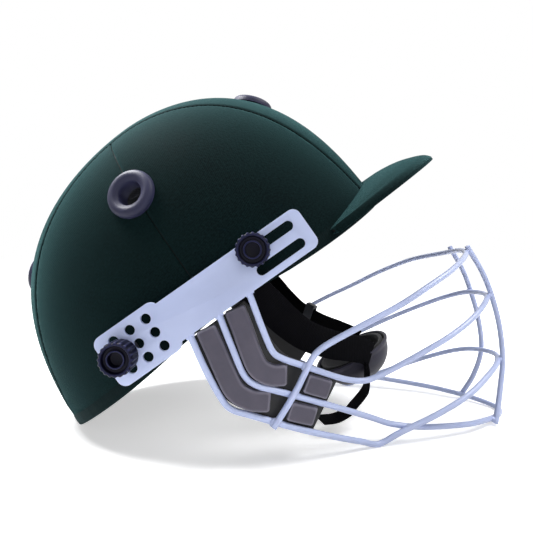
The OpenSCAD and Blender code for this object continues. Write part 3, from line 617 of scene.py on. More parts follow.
def inPanel(p, panel):
    if panel == "centre":
        return abs(p.y) < cover["panelHalf"] - cover["halfSeam"] + cover["slack"]
    where, side = panel.split("_")
    sideFits = (-p.y if side == "right" else p.y) > cover["panelHalf"] + cover["halfSeam"] - cover["slack"]
    ahead = (p.x - cover["split"]) * (1 if where == "front" else -1)
    return sideFits and ahead > cover["halfSeam"] - cover["slack"]


coverPieces = []
for panel in ("centre", "front_right", "front_left", "rear_right", "rear_left"):
    piece = copyMesh(dome, "cloth_" + panel)
    bm = bmesh.new()
    bm.from_mesh(piece.data)
    outside = [f for f in bm.faces if not inPanel(f.calc_center_median(), panel)]
    bmesh.ops.delete(bm, geom=outside, context="FACES")
    bm.normal_update()
    for v in bm.verts:
        d = seamGap(v.co, panel == "centre")
        if d < cover["round"] + cover["reach"]:
            roll = (1 - min(max((d - cover["halfSeam"]) / cover["round"], 0), 1)) ** 2 * cover["dip"]
            along = v.co.x if abs(abs(v.co.y) - cover["panelHalf"]) < abs(v.co.x - cover["split"]) else v.co.z
            wave = math.sin(along * 2 * math.pi / cover["puckerPitch"]) + 0.6 * math.sin(along * 2.3 + 1.3)
            crease = cover["pucker"] * wave * math.exp(-((d - cover["puckerAt"]) / cover["puckerWide"]) ** 2)
            v.co -= v.normal * (roll + crease)
    bm.to_mesh(piece.data)
    bm.free()
    layUv(piece, centreThreads if panel == "centre" else sideThreads)
    cleanMesh(piece, 0.02)
    addSolidify(piece, cover["thickness"])
    coverPieces.append((panel, piece))
bpy.data.objects.remove(dome, do_unlink=True)
for panel, piece in coverPieces:
    cutAway(piece, ventCutter(cover["ventRadius"], *cover["ventCut"]))
    finishPiece(piece, greenCloth, "helmet", "cover_" + panel, angle=50)
print("cover panels made")

# stitches that hold the centre panel's edge, one short thread after another
stitch = {"pitch": 3.1, "length": 2.1, "radius": 0.3, "inset": 0.1, "sink": 0.75, "clear": 17.0}


def seamLine(y, steps=220):
    # points of the form at a fixed distance from the middle, from brow to nape
    f, rows = shellForm, []
    for k in range(steps + 1):
        t = k / steps * 2 - 1
        e = 90 * (1 - abs(t))
        shrink = max(cosd(e), 1e-6) ** (2 / f["crownPower"])
        z = f["height"] * max(sind(e), 0.0) ** (2 / f["crownPower"])
        ratio = abs(y) / (f["halfWidth"] * shrink)
        if ratio > 1:
            continue
        p = planPower(z)
        a = math.degrees(math.asin(min(1, ratio ** (p / 2))))
        a = a if t < 0 else 180 - a
        rows.append(formPoint(a if y > 0 else -a, e))
    return rows


def surfaceNormal(p):
    # outward direction of the form at a point, from its level sets
    f = shellForm
    n = planPower(p.z)
    reach = f["front"] if p.x > f["mid"] else f["rear"]
    u, v, w = abs(p.x - f["mid"]) / reach, abs(p.y) / f["halfWidth"], max(p.z, 0) / f["height"]
    plan = (u ** n + v ** n) ** (1 / n) if u + v > 0 else 1e-6
    lean = plan ** (f["crownPower"] - n)
    return Vector((math.copysign(lean * u ** (n - 1) / reach, p.x - f["mid"]),
                   math.copysign(lean * v ** (n - 1) / f["halfWidth"], p.y),
                   w ** (f["crownPower"] - 1) / f["height"])).normalized()


def axesTurn(x, y, z):
    return Matrix((x, y, z)).transposed().to_4x4()


bpy.ops.mesh.primitive_uv_sphere_add(segments=6, ring_count=4, radius=stitch["radius"])
seed = added()
for v in seed.data.vertices:
    v.co.z += math.copysign(stitch["length"] / 2 - stitch["radius"], v.co.z) if abs(v.co.z) > 1e-4 else 0
ventSpots = [formPoint(a, e) for a, e in vents.values()]
for side, word in ((-1, "right"), (1, "left")):
    made = []
    points = evenPoints(seamLine(side * (cover["panelHalf"] - stitch["inset"])), stitch["pitch"])
    for i in range(1, len(points) - 1):
        p, t = points[i], tangentAt(points, i)
        if all((p - q).length >= stitch["clear"] for q in ventSpots):
            n = surfaceNormal(p)
            seat = Matrix.Translation(p + n * (stitch["radius"] - stitch["sink"]))
            made.append(copyMesh(seed, "stitch", seat @ axesTurn(t.cross(n).normalized(), n, t)))
    row = joinAll(made, "seam_stitches_" + word)
    finishPiece(row, threadCloth, "helmet", angle=60)
bpy.data.objects.remove(seed, do_unlink=True)
print("stitches made")

# binding: a strip of cloth folded round the rim
binding = {"profile": [(0.35, 7.0), (0.55, 4.5), (0.62, 1.6), (0.5, 0.0), (0.05, -1.0), (-1.0, -1.4),
                       (-2.6, -1.4), (-4.2, -1.2), (-5.0, -0.4), (-5.2, 1.4), (-5.1, 5.0), (-4.9, 9.0)],
           "sides": 288, "thickness": 0.5, "strip": 22.0, "lowest": -1.4, "still": -1.0,
           "ripples": ((0.05, 1.7), (0.04, 4.1))}
section = curvePoints([(out, lift, 0) for out, lift in binding["profile"]], 2)
rings = []
for k in range(binding["sides"]):
    a = k * 360 / binding["sides"]
    ripple = sum(size * math.sin(a * rate) for size, rate in binding["ripples"])
    rings.append([rimPoint(a, q.x + (ripple if q.y > binding["still"] else 0), max(q.y, binding["lowest"]))
                  for q in section])
rings.append(rings[0])
trim = skin("rim_cloth", rings)
addSolidify(trim, binding["thickness"])
rimLength = runLengths([r[0] for r in rings])[-1]
finishPiece(trim, bindingCloth, "helmet", "rim_binding", angle=60)
print("binding made")

# peak: cloth drawn over the board and round its edge
peak = {"root": 28.0, "reach": 114.0, "half": 90.0, "thick": 7.0, "thinner": 0.55, "lip": 5.5, "steps": 150,
        "cloth": 0.9, "ends": 84.0, "gap": 0.3, "spread": 61.0, "rootRise": 6.0, "rootFall": 15.0,
        "edgeDrop": -7.5, "bow": 2.6, "top": (0, 0.3, 0.58, 0.8, 0.93),
        "edge": ((1, 1.6), (1.005, 3), (1, 4.4)), "under": (0.93, 0.7, 0.35, 0),
        "tuck": ((0.02, 0.6), (0.1, 1.1), (0.4, 1.4), (1.0, 1.5))}


def peakPoint(t, r, drop):
    root = formPoint(t * peak["spread"] / 90, 0, peak["gap"])
    plan = root.lerp(Vector((peak["root"] + peak["reach"] * cosd(t), peak["half"] * sind(t), 0)), r)
    rootZ = peak["rootRise"] - peak["rootFall"] * (1 - cosd(t))
    return Vector((plan.x, plan.y, mix(peak["edgeDrop"], rootZ, 1 - r ** peak["bow"]) - drop))


def peakProfile(t):
    thick = mix(1, peak["thinner"], abs(t) / 90) * peak["thick"]
    rows = [(r, 0.0) for r in peak["top"]] + list(peak["edge"])
    rows += [(r, mix(thick, peak["lip"], r)) for r in peak["under"]]
    return [peakPoint(t, r, drop) for r, drop in rows]


rings = [curvePoints(peakProfile(mix(-peak["ends"], peak["ends"], k / peak["steps"])), 5)
         for k in range(peak["steps"] + 1)]


def turnedEnd(ring, before):
    # the cloth tucked over the board's end
    middle = sum(ring, Vector()) / len(ring)
    away = sum((p - q for p, q in zip(ring, before)), Vector()).normalized()
    return [[p.lerp(middle, share) + away * out for p in ring] for share, out in peak["tuck"]]


rings = turnedEnd(rings[0], rings[1])[::-1] + rings + turnedEnd(rings[-1], rings[-2])
cap = skin("peak_cloth", rings)
addSolidify(cap, peak["cloth"])
finishPiece(cap, greenCloth, "helmet", "peak_cover", angle=60)
print("peak made")

# vent grommets: one flange profile spun round, then copied to each vent
grommet = {"bore": 8.0, "neck": 10.3, "outer": 16.0, "height": 4.2, "seat": -1.2, "sides": 96}
g = grommet
flange = [(g["bore"], -8), (12.6, -8), (12.8, -7.8), (12.7, -7.2), (g["neck"], -6.8), (g["neck"], g["seat"]),
          (15.7, g["seat"]), (g["outer"], -0.9), (16.0, 0.4), (15.8, 1.6), (15.3, 2.6), (14.5, 3.4),
          (13.4, 4.0), (12.2, g["height"]), (11.2, 4.15), (10.3, 3.8), (9.8, 3.3), (9.3, 3.0), (8.8, 2.8),
          (8.35, 2.4), (g["bore"], 1.9)]


def spun(name, profile, sides, closed=True):
    # a profile in radius and height turned round the upright axis
    bpy.ops.mesh.primitive_circle_add(vertices=len(profile), radius=1)
    obj = added(name)
    for v, (r, z) in zip(obj.data.vertices, profile):
        v.co = (r, 0, z)
    bpy.ops.object.mode_set(mode="EDIT")
    if not closed:
        bm = bmesh.from_edit_mesh(obj.data)
        bm.verts.ensure_lookup_table()
        last = [e for e in bm.edges if {v.index for v in e.verts} == {0, len(profile) - 1}]
        bmesh.ops.delete(bm, geom=last, context="EDGES_FACES")
        bmesh.update_edit_mesh(obj.data)
    bpy.ops.mesh.select_all(action="SELECT")
    bpy.ops.mesh.spin(steps=sides, angle=2 * math.pi, center=(0, 0, 0), axis=(0, 0, 1))
    bpy.ops.object.mode_set(mode="OBJECT")
    return cleanMesh(obj, 1e-3)


seed = spun("grommet_seed", flange, grommet["sides"])
for word, (a, e) in vents.items():
    ring = copyMesh(seed, "grommet_" + word, ventFrame(a, e))
    finishPiece(ring, grommetPlastic, "helmet", "vent_grommet_" + word, angle=35)
bpy.data.objects.remove(seed, do_unlink=True)
print("grommets made")

# side plates: the CAD plate with its edges and holes rounded over
plate = {"edge": 0.0005, "y": 101.8}
knobPlaces = {"front": (-10.71, 9.315), "rear": (-108.09, 4.644)}


def cadCopy(node, name, edge, segments=2):
    obj = only(copyMesh(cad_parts[node], name))
    bpy.ops.object.mode_set(mode="EDIT")
    bpy.ops.mesh.select_all(action="SELECT")
    bpy.ops.mesh.remove_doubles(threshold=1e-6)
    bpy.ops.mesh.dissolve_limited(angle_limit=math.radians(1))
    bpy.ops.mesh.normals_make_consistent(inside=False)
    bpy.ops.object.mode_set(mode="OBJECT")
    return addBevel(obj, edge, segments, 50)


for word in ("right", "left"):
    sheetSteel = cadCopy("side_plate_" + word, "plate_" + word, plate["edge"], 3)
    finishPiece(sheetSteel, coatedSteel, "helmet", "side_plate_" + word, angle=30, lean=False)
print("plates made")

# guard wires: round bars bent along smooth curves
wire = {"radius": 2.0, "y": -100.1, "steps": 7, "roundness": 5, "cut": 0.4, "pitch": 1.7}
w = wire["y"]
wirePaths = {
    "eye": [(122, 0, -87), (117, -22, -86), (101, -51, -81), (85, -67, -78), (66, -77, -75), (42, -84, -72),
            (13, -88, -67), (-10, -88.5, -64), (-20, -88.4, -65), (-30, -90.6, -69.5), (-44, -93.8, -76),
            (-63.9, -97.6, -83.2)],
    "upper": [(116, 0, -126), (111, -20, -124), (98, -36, -122), (82, -48, -120), (62, -57, -117),
              (45, -61, -114), (21, -64, -110), (4, -64, -107), (-5, -66, -103), (-15, -73, -91),
              (-29, -87, -66), (-36, -91.6, -54), (-38, -93.6, -46), (-34, -97, -30), (-28.7, w, -12),
              (-27, w, -4)],
    "middle": [(95, 0, -172), (88, -21, -168.5), (74, -36, -165), (51, -50, -161), (25, -57.5, -155.5),
               (-5, -62, -148), (-21, -65, -144.2), (-29, -71, -133), (-39.8, -80, -116.6),
               (-53.2, -90, -95.5), (-70.2, -96, -70.2), (-77.6, -96.8, -59.7), (-78.6, -97.4, -50),
               (-75.5, -99, -30), (-71.4, w, -12), (-70, w, -4)],
    "bottom": [(71, 0, -210.5), (63, -20, -203), (47, -37, -189), (33, -46.5, -177), (10, -56.4, -157),
               (-6, -58, -142), (-14.9, -63.8, -127.2), (-30.6, -79.2, -98.8), (-48.7, -92.7, -69.5),
               (-57, -95.3, -58), (-59.8, -96.2, -48), (-55.8, -98, -31), (-50.5, w, -12), (-49, w, -4)]}
uprightPath = [(123.0, -17, -83.4), (122.4, -17, -87), (120.4, -17.5, -106), (115.4, -18, -125.3),
               (106.3, -17.5, -149), (93, -17.5, -171.6), (76, -22, -187.5), (59.6, -29.5, -198.6),
               (56.6, -31, -200)]


def roundBar(name, path, radius):
    # a path curve given a round section and made a mesh
    bpy.ops.curve.primitive_nurbs_path_add()
    obj = added(name)
    curve = obj.data
    curve.splines.clear()
    line = curve.splines.new("POLY")
    path = evenPoints(path, wire["pitch"])
    line.points.add(len(path) - 1)
    for point, p in zip(line.points, path):
        point.co = (*p, 1)
    curve.dimensions, curve.bevel_depth, curve.bevel_resolution = "3D", radius, wire["roundness"]
    curve.twist_mode, curve.use_fill_caps = "MINIMUM", True
    only(obj)
    bpy.ops.object.convert(target="MESH")
    obj = cleanMesh(added(name), 1e-3)
    return addBevel(obj, wire["cut"], 2, 60)


guardPaths = {}
for word, half in wirePaths.items():
    guardPaths[word] = half[::-1] + [(x, -y, z) for x, y, z in half[1:]]
for side, word in ((1, "right"), (-1, "left")):
    guardPaths["upright_" + word] = [(x, y * side, z) for x, y, z in uprightPath]
for word, points in guardPaths.items():
    guardPaths[word] = curvePoints(points, wire["steps"])
    bar = roundBar("wire_" + word, guardPaths[word], wire["radius"])
    node = "guard_" + word if word.startswith("upright") else word + "_bar"
    finishPiece(bar, coatedSteel, "helmet", node, angle=60)
print("guard wires made")

# welds: a small smooth bead wherever two wires touch, and along each wire's end on its plate
weld = {"reach": 4.9, "apart": 14.0, "near": 6.0, "turn": 0.2, "size": (3.1, 2.2, 2.2), "lumps": 0.06,
        "endSize": (5.2, 1.3, 1.5), "endShift": (-0.4, 0.5, 2.0), "endAcross": 2.0, "endAlong": (0.1, 0, 1)}


def bead(place, along, across, size):
    bpy.ops.mesh.primitive_ico_sphere_add(subdivisions=3, radius=1)
    obj = added()
    along = along.normalized()
    third = along.cross(across).normalized()
    for v in obj.data.vertices:
        v.co *= 1 + weld["lumps"] * math.sin(9 * v.co.x + 3 * v.co.y) * math.cos(7 * v.co.z)
    turn = axesTurn(along, third.cross(along), third)
    obj.data.transform(Matrix.Translation(place) @ turn @ Matrix.Diagonal((*size, 1)))
    return obj


beads, paths = [], list(guardPaths.values())
for i, a in enumerate(paths):
    for b in paths[i + 1:]:
        near = sorted(((p - q).length, m, n) for m, p in enumerate(a) for n, q in enumerate(b)
                      if max(abs(c) for c in p - q) < weld["near"])
        done = []
        for d, m, n in near:
            spot = (a[m] + b[n]) / 2
            if d < weld["reach"] and all((spot - q).length > weld["apart"] for q in done):
                done.append(spot)
                along = tangentAt(a, m) + tangentAt(b, n) * weld["turn"]
                beads.append(bead(spot, along, b[n] - a[m], weld["size"]))
for word in ("upper", "middle", "bottom"):
    x, y, z = wirePaths[word][-1]
    dx, dy, dz = weld["endShift"]
    for side in (-1, 1):
        for across in (-1, 1):
            spot = Vector((x + dx + across * weld["endAcross"], side * (plate["y"] - dy), z - dz))
            beads.append(bead(spot, Vector(weld["endAlong"]), Vector((0, side, 0)), weld["endSize"]))
welds = joinAll(beads, "guard_welds")
finishPiece(welds, coatedSteel, "helmet", angle=80)
print("welds made")

# temple guard: a backing sheet behind the wires, with four raised foam pads on each side
temple = {"in": 2.5, "thick": 2.4, "rise": 4.6, "rows": 8, "columns": 30, "edge": 0.7, "sunk": 0.05,
          "padPitch": 1.5}
cheek = {"ahead": 0.9, "down": 0.45, "start": 12.0, "half": 98.5, "slope": 0.3, "soft": 20.0}


def cheekPoint(x, z, inward):
    # the guard's side: flat at the rear, then bending in towards the chin
    along = cheek["ahead"] * x - cheek["down"] * z + cheek["start"]
    depth = cheek["half"] - cheek["slope"] * (along + math.sqrt(along * along + cheek["soft"] ** 2))
    return Vector((x, -depth + inward, z))


backingEdges = {"rear": [(-71.5, -11.4), (-76, -30), (-78, -52), (-71.8, -67), (-61.5, -85), (-49, -103.5)],
                "front": [(-34, -11.3), (-32.5, -26), (-35, -42), (-33, -56), (-25, -70), (-17, -90)]}
rear = curvePoints([(x, z, 0) for x, z in backingEdges["rear"]], temple["rows"])
front = curvePoints([(x, z, 0) for x, z in backingEdges["front"]], temple["rows"])
rings = []
for i in range(len(rear)):
    row = [rear[i].lerp(front[i], j / temple["columns"]) for j in range(temple["columns"] + 1)]
    rings.append([cheekPoint(p.x, p.y, temple["in"]) for p in row])
backRight = skin("backing_right", rings)
m = backRight.modifiers.new("thickness", "SOLIDIFY")
m.thickness, m.offset = temple["thick"], 0
applyAll(backRight)
backRight.data.transform(Matrix.Translation((0, temple["thick"] / 2, 0)))
addBevel(backRight, temple["edge"], 3, 50)
for word, obj in bothSides(backRight):
    finishPiece(obj, backingSheet, "helmet", "temple_backing_" + word, angle=40)

# each pad's middle line and half width, its section, and how it closes at its ends
padRoutes = {
    "temple_pad_rear": ([(-62, -13), (-64.5, -25), (-68, -41), (-69.5, -52), (-65.5, -62), (-58, -69)], 6.4),
    "temple_pad_front": ([(-41.5, -13.5), (-44.5, -25), (-49, -40), (-50.5, -50), (-47, -58), (-41, -63)],
                         6.4),
    "jaw_pad_front": ([(-33, -77.5), (-29.5, -83.5), (-26, -89.5)], 5.7),
    "jaw_pad_rear": ([(-50.5, -83.5), (-46.5, -89.5), (-42.5, -95.5)], 5.5)}
padSide = [(0.99, 0.0), (0.99, 0.3), (0.985, 0.62), (0.95, 0.84), (0.86, 0.97), (0.74, 1.03), (0.6, 1.05),
           (0.2, 1.06)]
padSection = [(-u, h) for u, h in padSide] + padSide[::-1]
padEnd = [(1.7, 0.8, 0.0), (1.75, 0.8, 0.3), (1.7, 0.86, 0.62), (1.45, 0.9, 0.84), (1.0, 0.94, 0.96),
          (0.4, 0.98, 1.0)]


def routePad(name, route, half):
    path = evenPoints(curvePoints([(x, z, 0) for x, z in route], 6), temple["padPitch"])
    last = len(path) - 1
    places = [(0, -push, narrow, low) for push, narrow, low in padEnd]
    places += [(i, 0.0, 1.0, 1.0) for i in range(last + 1)]
    places += [(last, push, narrow, low) for push, narrow, low in padEnd[::-1]]
    rows = []
    for i, push, narrow, low in places:
        t = tangentAt(path, i)
        side = Vector((t.y, -t.x, 0))
        row = []
        for u, h in padSection:
            p = path[i] + t * push + side * u * half * narrow
            row.append(cheekPoint(p.x, p.y, temple["in"] - temple["sunk"] - h * temple["rise"] * low))
        rows.append(row)
    return skin(name, rows, wrap=True, caps=True)


for word, (route, half) in padRoutes.items():
    for side, obj in bothSides(routePad(word + "_foam_right", route, half)):
        finishPiece(obj, templeFoam, "helmet", word + "_" + side, angle=65)
print("temple guards made")

# thumb screws: a spun knob with scalloped sides, copied to each screw
knob = {"flutes": 20, "perFlute": 10, "fluteDepth": 0.55, "fluteWidth": 0.36, "fluteSharp": 0.8,
        "fluteFrom": (8.5, 0.3), "fluteFade": (1.2, 0.9), "y": 105.0}
k = knob
knobProfile = [(0, 5.9), (2.5, 5.9), (2.5, 0), (8.6, 0), (9.3, 0.15), (9.8, 0.6), (10, 1.2), (10, 2.4),
               (10, 5), (10, 8), (10, 10.2), (9.85, 10.9), (9.4, 11.35), (8.8, 11.5), (8.2, 11.4),
               (7.9, 11.1), (7.75, 10.4), (7.6, 9.5),
               (7.3, 9.15), (6.8, 9.1), (5.9, 9.1), (5.45, 9.25), (5.3, 9.7), (5.25, 10.5), (5.1, 10.85),
               (4.75, 10.95), (4.45, 10.8), (4.3, 10.4), (4.3, 7.0), (4.1, 6.5), (3.4, 6.3), (0, 6.3)]
knobSeed = spun("knob_seed", knobProfile, k["flutes"] * k["perFlute"], closed=False)
for v in knobSeed.data.vertices:
    r = math.hypot(v.co.x, v.co.y)
    if r > k["fluteFrom"][0]:
        turnShare = (math.atan2(v.co.y, v.co.x) / (2 * math.pi) * k["flutes"]) % 1.0
        scallop = max(0.0, 1 - (abs(turnShare - 0.5) / k["fluteWidth"]) ** 2) ** k["fluteSharp"]
        fade = ease((r - k["fluteFrom"][0]) / k["fluteFade"][0])
        fade *= ease((v.co.z - k["fluteFrom"][1]) / k["fluteFade"][1])
        cut = k["fluteDepth"] * scallop * fade
        v.co.x *= (r - cut) / r
        v.co.y *= (r - cut) / r
for place, (x, z) in knobPlaces.items():
    for side, word in ((-1, "right"), (1, "left")):
        name = f"{place}_{word}"
        seat = Matrix.Translation((x, side * k["y"], z)) @ Matrix.Rotation(math.radians(-90 * side), 4, "X")
        one = copyMesh(knobSeed, "thumb_knob_" + name, seat)
        finishPiece(one, knobPlastic, name + "_screw", name + "_knob", angle=40)
bpy.data.objects.remove(knobSeed, do_unlink=True)
print("knobs made")

# chin straps: ribbed webbing, its ribs modelled across the width
strap = {"width": 21.0, "thick": 1.5, "rib": 1.5, "ribRise": 0.13, "rowsPerRib": 4, "columns": 12,
         "tailWidth": 14.0, "gap": 1.3, "selvedge": 0.06, "edgeRib": 0.35, "edgeThick": 0.55}
rivetPlace = (-26.0, -3)
inner = sideReach(rivetPlace[0]) - shellForm["cloth"] - shellForm["shell"]
strapY = inner - strap["gap"] - strap["thick"] / 2
strapRoute = [(-26, 0, 6), (-26, 0, -8), (-25, 4.2, -18), (-23.5, 10, -28), (-22, 19, -41), (-18, 33, -58),
              (-9, 46, -75), (2, 55.6, -89), (8, 59.4, -97), (11, 60.2, -104)]
strapAcross = [(1, 0, 0), (1, 0, 0), (1, 0, 0.1), (1, 0.05, 0.2), (1, 0.1, 0.25), (1, 0.3, 0.3),
               (0.85, 0.5, 0.3), (0.8, 0.6, 0.15), (0.8, 0.6, 0), (0.8, 0.6, 0)]
tailRoute = [(5, -36, -103.5), (2.5, -36, -108.5), (-0.3, -36, -112.5), (-4.8, -36.5, -118),
             (-10, -37, -121.2), (-22.3, -38, -124), (-28, -39.5, -124.5), (-37, -43.5, -121.3),
             (-46, -48.5, -114.2)]


def webbing(name, path, sides, width):
    fine = [(path[k].lerp(path[k + 1], share), sides[k].lerp(sides[k + 1], share))
            for k, share in evenSpots(path, strap["rib"] / strap["rowsPerRib"])]
    points = [p for p, s in fine]
    half, thick, rows = width / 2, strap["thick"] / 2, []
    for i, (p, s) in enumerate(fine):
        t = tangentAt(points, i)
        s = (s - t * s.dot(t)).normalized()
        n = t.cross(s)
        crest = 0.5 + 0.5 * math.cos(2 * math.pi * i / strap["rowsPerRib"])
        rib = strap["ribRise"] * crest - strap["ribRise"]
        ring = []
        for way in (-1, 1):
            for c in range(strap["columns"] + 1):
                u = (c / strap["columns"] * 2 - 1) * -way
                inner = ease((1 - abs(u)) / strap["selvedge"])
                h = (thick + rib * mix(strap["edgeRib"], 1, inner)) * mix(strap["edgeThick"], 1, inner)
                ring.append(p + s * u * half + n * way * h)
        rows.append(ring)
    return skin(name, rows, wrap=True, caps=True)


route = curvePoints([(x, y - strapY, z) for x, y, z in strapRoute], 6)
acrossIt = curvePoints(strapAcross, 6)
for word, obj in bothSides(webbing("webbing_right", route, acrossIt, strap["width"])):
    finishPiece(obj, webbingCloth, "chin_harness", "chin_strap_" + word, angle=60)
tailPath = curvePoints(tailRoute, 6)
tail = webbing("webbing_tail", tailPath, [Vector((0, 1, 0.1))] * len(tailPath), strap["tailWidth"])
finishPiece(tail, webbingCloth, "chin_harness", "strap_tail", angle=60)
slider = cadCopy("strap_slider", "ladder_slider", 0.0006, 3)
finishPiece(slider, spacerPlastic, "slider", "strap_slider", angle=35, lean=False)
print("straps made")

# chin cup: a moulded shell with a turned lip, and a padded lining inside
cup = {"length": 60.0, "width": 62.0, "depth": 25.0, "wall": 2.5, "place": (1.0, 0.0, -101.0), "dip": 8.0,
       "lip": 1.5, "lipFades": 10.0, "corner": 0.9, "sides": 96, "rises": 60, "rimRise": 0.8,
       "rim": (0.15, 0.5, 0.85)}
cupPad = {"gap": 0.1, "thick": 3.1, "rimRise": 0.9}
cupFrame = Matrix.Translation(cup["place"]) @ Matrix.Rotation(math.radians(cup["dip"]), 4, "Y")


def cupRing(e, off, lip):
    grow = off + lip * (1 - ease(e / cup["lipFades"]))
    long, wide = (cup["length"] / 2 + grow) * cosd(e), (cup["width"] / 2 + grow) * cosd(e)
    turns = [a * 360 / cup["sides"] for a in range(cup["sides"])]
    return [Vector((long * signedPower(cosd(a), cup["corner"]), wide * signedPower(sind(a), cup["corner"]),
                    -(cup["depth"] + off) * sind(e))) for a in turns]


def cupBowl(name, outer, inner, lip, rimRise):
    # outer wall up from the pole, over a rounded rim, and down the inner wall
    levels = [90 * (1 - i / cup["rises"]) for i in range(cup["rises"] + 1)]
    rows = [cupRing(e, outer, lip) for e in levels]
    for s in cup["rim"]:
        rise = Vector((0, 0, rimRise * math.sin(math.pi * s)))
        rows.append([p.lerp(q, s) + rise for p, q in zip(cupRing(0, outer, lip), cupRing(0, inner, lip))])
    rows += [cupRing(e, inner, lip) for e in reversed(levels)]
    obj = skin(name, rows, wrap=True)
    obj.data.transform(cupFrame)
    return obj


bowl = cupBowl("cup_shell", 0, -cup["wall"], cup["lip"], cup["rimRise"])
finishPiece(bowl, cupLeather, "chin_harness", "chin_cup", angle=70)
padOut = -cup["wall"] - cupPad["gap"]
inside = cupBowl("cup_pad", padOut, padOut - cupPad["thick"], 0.0, cupPad["rimRise"])
finishPiece(inside, cupFoam, "chin_harness", "cup_lining", angle=70)
print("chin cup made")

# foam liner behind the shell, cut out for the vents, the inserts and the strap ends
liner = {"out": -6.7, "thick": 8.0, "lift": 8.0, "sides": 144, "rises": 90, "edge": 2.2,
         "ventRadius": 13.8, "ventCut": (-40, 10), "insert": (10.5, 50, 60), "rivet": (7, 50, 60),
         "strapEnd": (15.5, strapY - 2.5, 20)}
lining = domeSkin("liner_moulding", liner["out"], liner["sides"], liner["rises"], liner["lift"])
addSolidify(lining, liner["thick"])
addBevel(lining, liner["edge"], 3, 60)
cuts = [(knobPlaces["front"], liner["insert"]), (knobPlaces["rear"], liner["insert"]),
        (rivetPlace, liner["rivet"]), (rivetPlace, liner["strapEnd"])]
pins = [ventCutter(liner["ventRadius"], *liner["ventCut"])]
for side in (-1, 1):
    for (x, z), (radius, start, depth) in cuts:
        place = Matrix.Translation((x, side * (start + depth / 2), z))
        pins.append(pinAt(radius, depth, place @ Matrix.Rotation(math.radians(90), 4, "X"), 48))
for pin in pins:
    cutAway(lining, pin)
finishPiece(lining, linerFoam, "helmet", "foam_liner", angle=50)
print("liner made")

# lining pads: cloth over foam, swelled by a short cloth simulation
lined = {"back": -15.7, "squareness": (4, 6), "edge": 0.35, "inset": 0.485, "voxel": 0.0042, "pressure": 4.0,
         "cap": 0.0035, "shrink": 0.0009, "frames": 20}
crown = {"radius": 42.0, "centre": -46.0, "off": -16.7, "longer": 1.2, "sides": 48,
         "reaches": (0.0, 0.2, 0.4, 0.6, 0.8, 0.93, 1.0), "drops": (6.0, 6.5, 8.6, 9.4, 9.2, 8.0, 5.0)}


def patchPad(name, a0, a1, e0, e1, thick, rows, cols):
    # a pad over a patch of the form, between two turns and two rises
    def place(u, v, off):
        return formPoint(mix(a0, a1, 0.5 + v), mix(e0, e1, 0.5 + u), off)
    rings = []
    for i in range(rows + 1):
        u, face = 2 * i / rows - 1, []
        for j in range(cols + 1):
            v = 2 * j / cols - 1
            domed = ((1 - u ** lined["squareness"][0]) * (1 - v ** lined["squareness"][1])) ** 0.5
            rise = thick * mix(lined["edge"], 1, domed)
            face.append(place(lined["inset"] * u, lined["inset"] * v, lined["back"] - rise))
        e = mix(e0, e1, i / rows)
        back = [formPoint(mix(a0, a1, j / cols), e, lined["back"]) for j in range(cols + 1)]
        rings.append(back + face[::-1])
    return skin(name, rings, wrap=True, caps=True)


def roofHeight(x, y, off):
    f = shellForm
    n = f["planTop"]
    reach = (f["front"] if x > f["mid"] else f["rear"]) + off
    s = ((abs(x - f["mid"]) / reach) ** n + (abs(y) / (f["halfWidth"] + off)) ** n) ** (1 / n)
    return (f["height"] + off) * (1 - s ** f["crownPower"]) ** (1 / f["crownPower"])


def crownRing(share, drop):
    out = []
    for j in range(crown["sides"]):
        a = j * 360 / crown["sides"]
        x = crown["centre"] + crown["longer"] * crown["radius"] * share * cosd(a)
        y = crown["radius"] * share * sind(a)
        out.append(Vector((x, y, roofHeight(x, y, crown["off"]) - drop)))
    return out


def swell(obj):
    # voxel remesh, then a pressure cloth whose moves are capped
    only(obj)
    obj.data.remesh_voxel_size = lined["voxel"]
    bpy.ops.object.voxel_remesh()
    start = [v.co.copy() for v in obj.data.vertices]
    normals = [v.normal.copy() for v in obj.data.vertices]
    for v, p, n in zip(obj.data.vertices, start, normals):
        v.co = p - n * lined["shrink"]
    m = obj.modifiers.new("cloth", "CLOTH")
    m.settings.use_pressure, m.settings.uniform_pressure_force = True, lined["pressure"]
    m.settings.effector_weights.gravity = 0
    m.point_cache.frame_start, m.point_cache.frame_end = 1, lined["frames"]
    for f in range(1, lined["frames"] + 1):
        scene.frame_set(f)
    shaped = obj.evaluated_get(bpy.context.evaluated_depsgraph_get()).data
    moved = [v.co.copy() for v in shaped.vertices]
    obj.modifiers.remove(m)
    scene.frame_set(1)
    for v, q in zip(obj.data.vertices, moved):
        step = q - v.co
        v.co += step * min(1.0, lined["cap"] / max(step.length, 1e-9))
    m = obj.modifiers.new("subdivision", "SUBSURF")
    m.levels = m.render_levels = 1
    return applyAll(obj)


def padThreads(p):
    # threads laid flat over the pad
    return p.y + 0.3 * p.x, p.z - 0.4 * p.x


crownRows = [crownRing(share, 0) for share in crown["reaches"]]
crownRows += [crownRing(share, drop) for share, drop in zip(crown["reaches"][::-1], crown["drops"][::-1])]
linedPads = [("sweatband", patchPad("sweatband_pad", -52, 52, 1, 14, 7, 10, 60)),
             ("nape_pad", patchPad("nape_cushion", 150, 210, 2, 20, 8, 12, 40)),
             ("crown_pad", skin("crown_cushion", crownRows, wrap=True))]
leftPad = patchPad("side_cushion_left", 78, 128, 3, 24, 8, 12, 34)
linedPads += [("side_pad_left", leftPad), ("side_pad_right", mirrorCopy(leftPad, "side_cushion_right"))]
for node, obj in linedPads:
    obj.data.transform(level)
    swell(obj)
    layUv(obj, padThreads)
    finishPiece(obj, padCloth, "helmet", node, angle=80, lean=False)
print("lining pads made")

